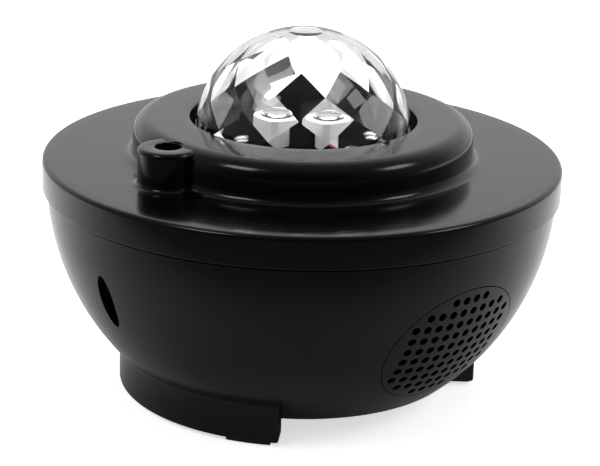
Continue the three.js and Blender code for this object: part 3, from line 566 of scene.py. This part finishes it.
# the speaker's axis leaves the bowl's centre towards -Y, tilted down
speakerTilt = math.asin((bowl["centre"] - grille["height"]) / bowl["radius"])
speakerAxis = Matrix.Translation((0, 0, bowl["centre"])) @ Matrix.Rotation(math.pi / 2 + speakerTilt, 4, "X")
towardsBack = Matrix.Rotation(-math.pi / 2, 4, "X")


def lowAngle(size, height):
    return -math.degrees(math.asin((bowl["centre"] - height) / size))


def bowlProfile():
    b = bowl
    baseReach = halfChord(b["radius"], b["centre"] - b["base"]) - b["baseEdge"]
    shoulderReach = halfChord(b["radius"], b["centre"] - b["shoulder"]) - b["shoulderEdge"]
    ledgeFoot = b["centre"] - halfChord(bowlInner, b["ledgeOuter"])
    outside = (
        lowAngle(b["radius"], b["base"] + b["baseEdge"] / 2),
        lowAngle(b["radius"], b["shoulder"] - b["shoulderEdge"]),
    )
    inside = (lowAngle(bowlInner, b["shoulder"] - 2 * b["wall"]), lowAngle(bowlInner, ledgeFoot))
    return [
        (b["coverOpening"], b["base"]),
        (baseReach, b["base"]),
        *arcPoints(0, b["centre"], b["radius"], *outside, b["outerSteps"]),
        (shoulderReach, b["shoulder"]),
        (b["rim"], b["shoulder"]),
        (b["rim"], b["rimTop"]),
        (b["rim"] - b["wall"], b["rimTop"]),
        (b["rim"] - b["wall"], b["shoulder"] - b["wall"]),
        *arcPoints(0, b["centre"], bowlInner, *inside, b["innerSteps"]),
        (b["ledgeOuter"], b["ledgeTop"]),
        (b["ledgeInner"], b["ledgeTop"]),
        (b["ledgeInner"], b["coverSeat"]),
        (b["coverOpening"], b["coverSeat"]),
    ]


def footMesh(middle):
    # a curved foot with rounded edges and a fillet where it meets the bowl
    f = feet
    filletReach = f["outer"] + f["fillet"]
    filletAt = (filletReach, bowl["centre"] - halfChord(bowl["radius"] + f["fillet"], filletReach))
    meet = 180 - math.degrees(math.atan2(bowl["centre"] - filletAt[1], filletReach))
    sunk = filletReach + f["fillet"] * math.cos(math.radians(meet))
    bm = spinProfile([
        (f["inner"], f["bottom"]),
        (f["outer"], f["bottom"]),
        *arcPoints(*filletAt, f["fillet"], 180, meet, 6),
        *[(reach, bowl["centre"] - halfChord(bowlMiddle, reach)) for reach in (sunk, f["outer"])],
        (f["inner"], bowl["base"] + bowl["wall"] / 2),
    ], f["steps"], math.radians(2 * f["halfAngle"]))
    lowest = bowl["base"] + bowl["wall"] * f["sinkShare"]

    def isOpenEdge(edge):
        heights = [vert.co.z for vert in edge.verts]
        reaches = [vert.co.xy.length for vert in edge.verts]
        outside = min(heights) < lowest or min(reaches) > f["outer"] - f["slack"]
        return edge.calc_face_angle(0) > sharpAngle and outside and max(reaches) < sunk - f["slack"]

    bevelEdges(bm, [edge for edge in bm.edges if isOpenEdge(edge)], f["edge"], 3)
    moveMesh(bm, Matrix.Rotation(math.radians(middle - 90 - f["halfAngle"]), 4, "Z"))
    return bm


def postsMesh():
    posts = bmesh.new()
    low = bowl["base"] + bowl["wall"] / 2
    for angle in caseScrews["angles"]:
        place = polar(caseScrews["circle"], angle)
        addRod(posts, caseScrews["post"], low, caseScrews["postTop"], place)
    return posts


def collarMesh():
    # holds the speaker behind the grille
    g = grille
    collar = spinProfile([
        (g["collarInner"], g["collarBack"]),
        (g["collarOuter"], g["collarBack"]),
        (g["collarOuter"], halfChord(bowlMiddle, g["collarOuter"])),
        (g["collarInner"], halfChord(bowlMiddle, g["collarInner"])),
    ], g["collarSides"])
    moveMesh(collar, speakerAxis)
    return collar


def addPocketRod(bm, wall, sides):
    # an oval rod through the bowl's side at the power pocket, grown by a wall
    p = pocket
    face = halfChord(bowl["radius"], bowl["centre"] - p["height"])
    along = Matrix.Translation((0, 0, p["height"])) @ Matrix.Rotation(-math.pi / 2, 4, "Y")
    addRod(
        bm, 1, face - p["depth"] - wall, bowl["radius"] + overrun, turnBy=along, segments=sides,
        scale=(p["halfHeight"] + wall, p["halfWidth"] + wall),
    )


def wallsMesh():
    # the pocket's walls and the control board's posts, trimmed inside the bowl's wall
    walls = bmesh.new()
    addPocketRod(walls, pocket["wall"], pocket["wallSides"])
    low = buttons["switchFace"] + boardPosts["gap"]
    for x in boardPosts["x"]:
        for z in boardPosts["z"]:
            turnBy = Matrix.Translation((x, 0, z)) @ towardsBack
            addRod(walls, boardPosts["radius"], low, bowl["radius"], turnBy=turnBy)
    obj = makeObject("walls", walls)
    inside = bmesh.new()
    centre = Matrix.Translation((0, 0, bowl["centre"]))
    bmesh.ops.create_uvsphere(inside, **ball, radius=bowlMiddle, matrix=centre)
    carve(obj, inside, "INTERSECT")
    return takeMesh(obj)


def holesMesh():
    # the screws' wells, the pocket and the button holes
    holes = bmesh.new()
    for angle in caseScrews["angles"]:
        place = polar(caseScrews["circle"], angle)
        addRod(holes, caseScrews["well"], 0, caseScrews["wellTop"], place)
    addPocketRod(holes, 0, pocket["sides"])
    for i in range(buttons["count"]):
        x = (i - (buttons["count"] - 1) / 2) * buttons["pitch"]
        addRod(
            holes, buttons["radius"] + buttons["gap"], buttons["switchFace"], bowl["radius"] + overrun,
            turnBy=Matrix.Translation((x, 0, buttons["height"])) @ towardsBack, segments=buttons["sides"],
        )
    return holes


def seatMesh():
    # the space that the grille fills in the bowl's wall
    g = grille
    seat = bmesh.new()
    addRod(
        seat, 1, g["collarBack"], bowl["radius"] + overrun, segments=g["sides"],
        scale=(g["halfWidth"] + g["gap"], g["halfHeight"] + g["gap"]),
    )
    obj = makeObject("seat", seat)
    core = bmesh.new()
    bmesh.ops.create_uvsphere(core, **ball, radius=bowlInner - g["seatGap"])
    carve(obj, core)
    seat = takeMesh(obj)
    moveMesh(seat, speakerAxis)
    return seat


def buildBowl():
    obj = makeObject("bowlShell", spinProfile(bowlProfile()))
    for middle in feet["middles"]:
        carve(obj, footMesh(middle), "UNION")
    for bm in (postsMesh(), collarMesh(), wallsMesh()):
        carve(obj, bm, "UNION")
    carve(obj, holesMesh())
    carve(obj, seatMesh())
    finishPiece(obj, "case", "shell", "bowl_shell")
    print("bowl done:", len(obj.data.polygons), "faces")


def buildGrille():
    g = grille
    spread = math.degrees(math.asin(g["reach"] / bowlInner))
    back = bowlInner - g["depth"]
    front = bowl["radius"] + overrun
    obj = makeObject("speakerGrille", spinProfile([
        *arcPoints(0, 0, bowl["radius"], 90 - spread, 90, 26),
        *arcPoints(0, 0, bowlInner, 90, 90 - spread, 12),
    ], g["sides"]))
    outline = bmesh.new()
    addRod(outline, 1, back, front, segments=g["sides"], scale=(g["halfWidth"], g["halfHeight"]))
    carve(obj, outline, "INTERSECT")
    holes = bmesh.new()
    for row, count in enumerate(g["rows"]):
        y = ((len(g["rows"]) - 1) / 2 - row) * g["pitch"][1]
        for i in range(count):
            x = (i - (count - 1) / 2) * g["pitch"][0]
            addRod(holes, g["hole"], back, front, (x, y), g["holeSides"])
    carve(obj, holes)
    obj.data.transform(speakerAxis)
    finishPiece(obj, "case", "shell", "speaker_grille")
    print("grille done:", len(obj.data.polygons), "faces")


# Small outside pieces: base cover, button caps, power socket, pads and screws

baseCover = {
    "thickness": 1.9 * mm,
    "edge": 0.3 * mm,
    "standoff": 2.4 * mm,
    "standoffX": (-27.5 * mm, 27.5 * mm),
    "standoffY": (-18.5 * mm, 18.5 * mm),
    "screwCircle": 45.38 * mm,
    "screwHole": 1 * mm,
}


def buildBaseCover():
    c = baseCover
    low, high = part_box("bottom_cover")
    top = low.z + c["thickness"]
    obj = makeObject("baseCover", spinProfile([
        (0, low.z),
        *arcPoints(high.x - c["edge"], low.z + c["edge"], c["edge"], 270, 360, 3),
        (high.x, top),
        (0, top),
    ]))
    standoffs = bmesh.new()
    for x in c["standoffX"]:
        for y in c["standoffY"]:
            addRod(standoffs, c["standoff"], low.z + c["thickness"] / 2, high.z, (x, y))
    carve(obj, standoffs, "UNION")
    holes = bmesh.new()
    for y in (-c["screwCircle"], c["screwCircle"]):
        addRod(holes, c["screwHole"], low.z - overrun, top + overrun, (0, y))
    carve(obj, holes)
    finishPiece(obj, "case", "shell", "bottom_cover")
    print("base cover done")


capShape = {
    "collar": 1.4 * mm,
    "edge": 0.5 * mm,
    "dish": 0.18 * mm,
    "dishSteps": ((0.66, 0.6), (0.33, 0.9), (0, 1)),
    "sides": 72,
}


def buildButtonCaps():
    c = capShape
    radius = buttons["radius"]
    for i in range(1, buttons["count"] + 1):
        low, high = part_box(f"button_cap_{i}")
        middle = (low + high) / 2
        collarReach = high.x - middle.x
        cap = spinProfile([
            (0, low.y),
            (collarReach, low.y),
            (collarReach, low.y + c["collar"]),
            (radius, low.y + c["collar"]),
            *arcPoints(radius - c["edge"], high.y - c["edge"], c["edge"], 0, 90, 6),
            *[(radius * reach, high.y - c["dish"] * depth) for reach, depth in c["dishSteps"]],
        ], c["sides"])
        moveMesh(cap, Matrix.Translation((middle.x, 0, middle.z)) @ towardsBack)
        finishPiece(makeObject(f"buttonCap{i}", cap), f"button_{i}", "shell", f"button_cap_{i}")
    print("button caps done")


socketShape = {
    "corner": 0.8 * mm,
    "wall": 0.45 * mm,
    "mouthDepth": 3.2 * mm,
    "tongueThickness": 0.6 * mm,
    "tongueHeight": 4.8 * mm,
    "tongueReach": 2.4 * mm,
}


def roundedBlock(low, high, corner):
    # a block with its edges along x rounded
    bm = bmesh.new()
    addBlock(bm, high - low, (low + high) / 2)
    along = [edge for edge in bm.edges if abs(edge.verts[0].co.x - edge.verts[1].co.x) > weldDistance]
    bevelEdges(bm, along, corner, 5)
    return bm


def buildSocket():
    s = socketShape
    low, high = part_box("power_socket")
    inset = Vector((0, s["wall"], s["wall"]))
    obj = makeObject("powerSocket", roundedBlock(low, high, s["corner"]))
    mouthStart = low + inset - Vector((overrun, 0, 0))
    mouthEnd = Vector((low.x + s["mouthDepth"], high.y, high.z)) - inset
    carve(obj, roundedBlock(mouthStart, mouthEnd, s["corner"] - s["wall"]))
    finishPiece(obj, "case", "steel", "power_socket")
    tongue = bmesh.new()
    size = (s["tongueReach"], s["tongueThickness"], s["tongueHeight"])
    addBlock(tongue, size, (mouthEnd.x - s["tongueReach"] / 2, 0, (low.z + high.z) / 2))
    finishPiece(makeObject("socketTongue", tongue), "case", "chip")
    print("socket done")


padShape = {"count": 4, "inset": 1.2 * mm, "halfAngle": 7.2, "edge": 0.35 * mm, "steps": 10}


def buildPads():
    # each pad lies under the end of a foot, over a screw's well
    p = padShape
    inner, outer = feet["inner"] + p["inset"], feet["outer"] - p["inset"]
    for i in range(1, p["count"] + 1):
        low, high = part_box(f"rubber_pad_{i}")
        middle = (low + high) / 2

        def offset(angle):
            return (Vector(polar(caseScrews["circle"], angle)) - middle.xy).length

        profile = [(inner, low.z), (outer, low.z), (outer, high.z), (inner, high.z)]
        bm = spinProfile(profile, p["steps"], math.radians(2 * p["halfAngle"]))
        rim = [
            edge for edge in bm.edges
            if edge.calc_face_angle(0) > sharpAngle and edge.verts[0].co.z + edge.verts[1].co.z < high.z
        ]
        bevelEdges(bm, rim, p["edge"], 3)
        start = min(caseScrews["angles"], key=offset) - 90 - p["halfAngle"]
        moveMesh(bm, Matrix.Rotation(math.radians(start), 4, "Z"))
        finishPiece(makeObject(f"rubberPad{i}", bm), "case", "rubber", f"rubber_pad_{i}")
    print("pads done")


screwShapes = {
    "case_screw": {
        "piece": "longScrew",
        "count": 4,
        "head": 2.8 * mm,
        "headHeight": 1.8 * mm,
        "shank": 1.3 * mm,
    },
    "base_screw": {
        "piece": "shortScrew",
        "count": 2,
        "head": 1.5 * mm,
        "headHeight": 1.3 * mm,
        "shank": 0.8 * mm,
    },
}
screwForm = {
    "head": ((0, 0), (0.5, 0), (0.82, 0.15), (1, 0.5), (1, 1)),
    "tip": 0.3,
    "crossReach": 1.15,
    "crossWidth": 0.24,
    "sides": 40,
}


def buildScrews():
    # pan heads with a cross recess, facing down
    f = screwForm
    for name, shape in screwShapes.items():
        head, headHeight, shank = shape["head"], shape["headHeight"], shape["shank"]
        for i in range(1, shape["count"] + 1):
            low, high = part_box(f"{name}_{i}")
            middle = (low + high) / 2
            screw = spinProfile([
                *[(head * reach, low.z + headHeight * rise) for reach, rise in f["head"]],
                (shank, low.z + headHeight),
                (shank, high.z - shank),
                (shank * f["tip"], high.z),
                (0, high.z),
            ], f["sides"])
            moveMesh(screw, Matrix.Translation((middle.x, middle.y, 0)))
            obj = makeObject(f"{shape['piece']}{i}", screw)
            for across in ((f["crossReach"], f["crossWidth"]), (f["crossWidth"], f["crossReach"])):
                slot = bmesh.new()
                size = (head * across[0], head * across[1], headHeight)
                addBlock(slot, size, (middle.x, middle.y, low.z))
                carve(obj, slot)
            finishPiece(obj, "case", "steel", f"{name}_{i}")
    print("screws done")


# Crystal dome: round outside, flat diamond facets inside

dome = {
    "radius": 34.4 * mm,
    "centre": 83.5 * mm,
    "apex": 117.5 * mm,
    "wall": 1.7 * mm,
    "bottom": 72.8 * mm,
    "flangeRadius": 40.5 * mm,
    "flangeThickness": 1.8 * mm,
    "facets": 11,
    "facetRows": (-24.5, -13, -1.5, 10.2, 22.2, 35.2, 49.9, 61.2, 69.9, 76.1, 80.6),
    "insideRise": 32.3 * mm,
    "phase": -133.6,
    "openDepth": 2 * mm,
    "steps": 40,
    "sides": 160,
    "facetLimit": 9,
}


def facetCorners():
    # corners of the facets, each row turned by half a facet, and the open bottom below them
    d = dome
    corners = bmesh.new()
    for row, latitude in enumerate(d["facetRows"]):
        reach = (d["radius"] - d["wall"]) * math.cos(math.radians(latitude))
        height = d["centre"] + d["insideRise"] * math.sin(math.radians(latitude))
        for i in range(d["facets"]):
            angle = math.radians(d["phase"]) + math.pi / d["facets"] * (2 * i + row % 2)
            at = (reach * math.cos(angle), reach * math.sin(angle))
            corners.verts.new((*at, height))
            if row < 2:
                corners.verts.new((*at, d["bottom"] - d["openDepth"]))
    return corners


def buildDome():
    d = dome
    flangeTop = d["bottom"] + d["flangeThickness"]
    obj = makeObject("crystalDome", spinProfile([
        (0, d["bottom"]),
        (d["flangeRadius"], d["bottom"]),
        (d["flangeRadius"], flangeTop),
        (d["radius"], flangeTop),
        *ovalPoints(d["radius"], d["centre"], d["apex"] - d["centre"], d["steps"]),
        (0, d["apex"]),
    ], d["sides"]))
    hollow = facetCorners()
    bmesh.ops.convex_hull(hollow, input=hollow.verts[:], use_existing_faces=False)
    loose = [vert for vert in hollow.verts if not vert.link_faces]
    bmesh.ops.delete(hollow, geom=loose, context="VERTS")
    bmesh.ops.recalc_face_normals(hollow, faces=hollow.faces[:])
    carve(obj, hollow)
    obj.visible_shadow = False  # the lamps light what is inside
    finishPiece(obj, "dome", "crystal", "crystal_dome", limit=d["facetLimit"])
    print("dome done:", len(obj.data.polygons), "faces")


# What shows through the dome: the lamp holders and the lamp board's small parts

reflectors = {
    "count": 4,
    "slim": 0.84,
    "corner": 2.2 * mm,
    "edge": 0.35 * mm,
    "throat": 1.8 * mm,
    "mouth": 3.7 * mm,
    "bowlSteps": ((0, 0.15), (0.55, 0.42), (0.85, 0.72)),
    "facets": 12,
    "facetLimit": 20,
    "chip": 1.3 * mm,
    "chipHeight": 0.5 * mm,
    "chipEdge": 0.15 * mm,
    "lensGap": 0.15 * mm,
    "lensSink": 0.8 * mm,
    "lensRise": 0.9 * mm,
    "lensSides": 48,
}
phosphor = {"scale": 1200, "dark": (0.8, 0.62, 0.16), "light": (0.95, 0.8, 0.3), "roughness": 0.5}


def lampPhosphor():
    p = phosphor
    material, tree, shader = newMaterial("lampPhosphor", p["light"], p["roughness"])
    varyColor(tree, noiseNode(tree, p["scale"]), shader.inputs["Base Color"], p["dark"], p["light"])
    return material


def holderObject(name, low, high):
    # a square holder with rounded corners and a faceted bowl
    r = reflectors
    middle = (low + high) / 2
    height = high.z - low.z
    body = bmesh.new()
    addBlock(body, ((high.x - low.x) * r["slim"], (high.y - low.y) * r["slim"], height), middle)
    upright = [edge for edge in body.edges if abs(edge.verts[0].co.z - edge.verts[1].co.z) > weldDistance]
    bevelEdges(body, upright, r["corner"], 4)
    rim = [edge for edge in body.edges if min(vert.co.z for vert in edge.verts) > middle.z]
    bevelEdges(body, rim, r["edge"], 2)
    obj = makeObject(name, body)
    widening = r["mouth"] - r["throat"]
    cup = spinProfile([
        (0, low.z - overrun),
        (r["throat"], low.z - overrun),
        *[(r["throat"] + widening * share, low.z + height * rise) for share, rise in r["bowlSteps"]],
        (r["mouth"], high.z),
        (r["mouth"], high.z + overrun),
        (0, high.z + overrun),
    ], r["facets"])
    moveMesh(cup, Matrix.Translation((middle.x, middle.y, 0)))
    carve(obj, cup)
    return obj


def buildReflectors():
    # holders with the lamp's chip at the bottom and a shallow clear lens on top
    r = reflectors
    glow = lampPhosphor()
    lensReach = r["mouth"] - r["lensGap"]
    for i in range(1, r["count"] + 1):
        low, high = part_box(f"led_reflector_{i}")
        middle = (low + high) / 2
        obj = holderObject(f"ledReflector{i}", low, high)
        finishPiece(obj, "case", "silvered", f"led_reflector_{i}", limit=r["facetLimit"])
        chip = bmesh.new()
        size = (2 * r["chip"], 2 * r["chip"], r["chipHeight"])
        addBlock(chip, size, (middle.x, middle.y, low.z + r["chipHeight"] / 2))
        bevelEdges(chip, chip.edges[:], r["chipEdge"], 2)
        finishPiece(makeObject(f"ledChip{i}", chip), "case", "white_plastic", material=glow)
        lens = spinProfile([
            (0, high.z - r["lensSink"]),
            (lensReach, high.z - r["lensSink"]),
            *ovalPoints(lensReach, high.z, r["lensRise"], 12),
            (0, high.z + r["lensRise"]),
        ], r["lensSides"])
        moveMesh(lens, Matrix.Translation((middle.x, middle.y, 0)))
        finishPiece(makeObject(f"ledLens{i}", lens), "case", "crystal")
    print("reflectors done")


lampBoard = {
    "padCircle": 19.5 * mm,
    "padAngles": (-38, -32, 52, 58, 142, 148, 232, 238),
    "padRadius": 0.85 * mm,
    "padHeight": 0.45 * mm,
    "padStretch": 1.5,
    "screwCircle": 19 * mm,
    "screwAngles": (15, 195),
    "screwRadius": 1.9 * mm,
    "screwHeight": 1.3 * mm,
    "screwSink": 0.6 * mm,
    "screwHead": ((1, 0.35), (0.85, 0.8), (0.55, 1)),
    "screwSides": 24,
    "socket": 0.75 * mm,
    "socketBottom": 0.3,
}


def buildLampBoardParts():
    # solder on the lamp board's pads, and the two screws that hold the board
    b = lampBoard
    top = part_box("led_board")[1].z
    solder = bmesh.new()
    flatten = Matrix.Diagonal((b["padStretch"], 1, b["padHeight"] / b["padRadius"], 1))
    for angle in b["padAngles"]:
        shape = Matrix.Translation((*polar(b["padCircle"], angle), top)) @ flatten
        bmesh.ops.create_icosphere(solder, subdivisions=2, radius=b["padRadius"], matrix=shape)
    finishPiece(makeObject("lampSolder", solder), "case", "steel")
    screws = bmesh.new()
    for angle in b["screwAngles"]:
        head = spinProfile([
            (0, top - b["screwSink"]),
            (b["screwRadius"], top - b["screwSink"]),
            *[(b["screwRadius"] * reach, top + b["screwHeight"] * rise) for reach, rise in b["screwHead"]],
            (b["socket"], top + b["screwHeight"]),
            (b["socket"], top + b["screwHeight"] * b["socketBottom"]),
            (0, top + b["screwHeight"] * b["socketBottom"]),
        ], b["screwSides"])
        moveMesh(head, Matrix.Translation((*polar(b["screwCircle"], angle), 0)))
        addMesh(screws, head)
    finishPiece(makeObject("lampBoardScrews", screws), "case", "steel")
    print("lamp board parts done")


# Stage: pale floor whose mirrored image has painted shade towards the camera, white surroundings that dim
# towards the camera, and soft lamps

white = (1, 1, 1, 1)
black = (0, 0, 0, 1)
stage = {
    "floorSize": 6.0,
    "floorColor": (0.8, 0.8, 0.8),
    "floorRoughness": 0.9,
    "floorGlow": 0.62,
    # frontDim, farDim, dimFrom and dimTo set the painted shade on the floor as gloss sees it
    "frontDim": 0.92,
    "farDim": 0.12,
    "dimFrom": 0.13,
    "dimTo": -0.2,
    "worldLight": 0.5,
    "behind": 0.88,
    "above": 0.2,
    "before": 0.02,
    "horizon": 0.05,
    "fullyBehind": 0.85,
}
# three soft boxes give the light, and two small strips draw the thin lines along rounded edges;
# places are metres to the right of the object, away from the camera and up
lampTarget = Vector((0, 0, 0.06))
lamps = {
    "topBox": {"place": (0, 0.25, 0.9), "size": (0.9, 0.7), "power": 9.0, "inGloss": False},
    "leftBox": {"place": (-0.8, 0, 0.45), "size": (0.5, 0.6), "power": 3.2, "inGloss": False},
    "rightBox": {"place": (0.8, 0, 0.45), "size": (0.5, 0.6), "power": 3.2, "inGloss": False},
    "stripLeft": {"place": (-0.53, -0.45, 0.779), "size": (0.3, 0.22), "power": 0.9, "inGloss": True},
    "stripRight": {"place": (0.75, -0.19, 0.693), "size": (0.3, 0.22), "power": 0.9, "inGloss": True},
}


def mathNode(tree, operation, *values):
    node = tree.nodes.new("ShaderNodeMath")
    node.operation = operation
    for i, value in enumerate(values):
        if hasattr(value, "links"):
            tree.links.new(value, node.inputs[i])
        else:
            node.inputs[i].default_value = value
    return node.outputs[0]


def alongNode(tree, source, direction):
    dot = tree.nodes.new("ShaderNodeVectorMath")
    dot.operation = "DOT_PRODUCT"
    dot.inputs[1].default_value = direction
    tree.links.new(source, dot.inputs[0])
    return dot.outputs["Value"]


def rangeNode(tree, source, fromLow, fromHigh, toLow, toHigh):
    spread = tree.nodes.new("ShaderNodeMapRange")
    spread.interpolation_type = "SMOOTHSTEP"
    names = ("From Min", "From Max", "To Min", "To Max")
    for name, value in zip(names, (fromLow, fromHigh, toLow, toHigh)):
        spread.inputs[name].default_value = value
    tree.links.new(source, spread.inputs["Value"])
    return spread.outputs["Result"]


def rayMasks(tree):
    # 1 for what the camera sees directly or through glass, and 1 for what is mirrored
    rays = tree.nodes.new("ShaderNodeLightPath").outputs
    undiffused = mathNode(tree, "LESS_THAN", rays["Diffuse Depth"], 0.5)
    through = mathNode(tree, "MULTIPLY", rays["Is Transmission Ray"], undiffused)
    seen = mathNode(tree, "MAXIMUM", rays["Is Camera Ray"], through)
    reflected = mathNode(tree, "GREATER_THAN", rays["Glossy Depth"], 0.5)
    return seen, mathNode(tree, "MULTIPLY", rays["Is Glossy Ray"], reflected)


def addFloor():
    s = stage
    bm = bmesh.new()
    bmesh.ops.create_grid(bm, x_segments=1, y_segments=1, size=s["floorSize"] / 2)
    floor = makeObject("floor", bm)
    material, tree, shader = newMaterial(
        "floorPaper", s["floorColor"], s["floorRoughness"], Specular_IOR_Level=0.0, Emission_Color=white,
    )
    seen, mirrored = rayMasks(tree)
    tree.links.new(mathNode(tree, "MULTIPLY", seen, s["floorGlow"]), shader.inputs["Emission Strength"])
    # painted shade: gloss sees the floor mixed towards black, dim towards the camera
    place = tree.nodes.new("ShaderNodeTexCoord").outputs["Object"]
    along = alongNode(tree, place, facingAxes()[1])
    dim = rangeNode(tree, along, s["dimTo"], s["dimFrom"], s["frontDim"], s["farDim"])
    shade = tree.nodes.new("ShaderNodeBsdfDiffuse")
    shade.inputs["Color"].default_value = black
    mix = tree.nodes.new("ShaderNodeMixShader")
    tree.links.new(mathNode(tree, "MULTIPLY", mirrored, dim), mix.inputs["Fac"])
    tree.links.new(shader.outputs["BSDF"], mix.inputs[1])
    tree.links.new(shade.outputs["BSDF"], mix.inputs[2])
    tree.links.new(mix.outputs["Shader"], tree.nodes["Material Output"].inputs["Surface"])
    floor.data.materials.append(material)


def addWorld():
    s = stage
    world = bpy.data.worlds.new("studio")
    bpy.context.scene.world = world
    world.use_nodes = True
    tree = world.node_tree
    background = tree.nodes["Background"]
    background.inputs["Color"].default_value = white
    seen, mirrored = rayMasks(tree)
    toward = tree.nodes.new("ShaderNodeTexCoord").outputs["Generated"]
    along = alongNode(tree, toward, facingAxes()[1])
    front = rangeNode(tree, along, -1, s["horizon"], s["before"], s["above"])
    back = rangeNode(tree, along, s["horizon"], s["fullyBehind"], 0, s["behind"] - s["above"])
    gloss = mathNode(tree, "MULTIPLY", mathNode(tree, "ADD", front, back), mirrored)
    plain = mathNode(tree, "MULTIPLY_ADD", seen, 1 - s["worldLight"], s["worldLight"])
    direct = mathNode(tree, "MULTIPLY", plain, mathNode(tree, "SUBTRACT", 1, mirrored))
    tree.links.new(mathNode(tree, "ADD", gloss, direct), background.inputs["Strength"])


def addLamps():
    right, ahead = facingAxes()
    for name, shape in lamps.items():
        side, away, up = shape["place"]
        place = right * side + ahead * away + Vector((0, 0, up))
        data = bpy.data.lights.new(name, "AREA")
        data.shape = "RECTANGLE"
        data.size, data.size_y = shape["size"]
        data.energy = shape["power"]
        lamp = bpy.data.objects.new(name, data)
        turn = (lampTarget - place).to_track_quat("-Z", "Y").to_matrix().to_4x4()
        lamp.matrix_world = Matrix.Translation(place) @ turn
        lamp.visible_glossy = shape["inGloss"]
        bpy.context.scene.collection.objects.link(lamp)


addCamera()
dressNodes()
buildCover()
buildBowl()
buildGrille()
buildBaseCover()
buildButtonCaps()
buildSocket()
buildPads()
buildScrews()
buildDome()
buildReflectors()
buildLampBoardParts()
addFloor()
addWorld()
addLamps()

bpy.context.scene.view_settings.view_transform = "Standard"
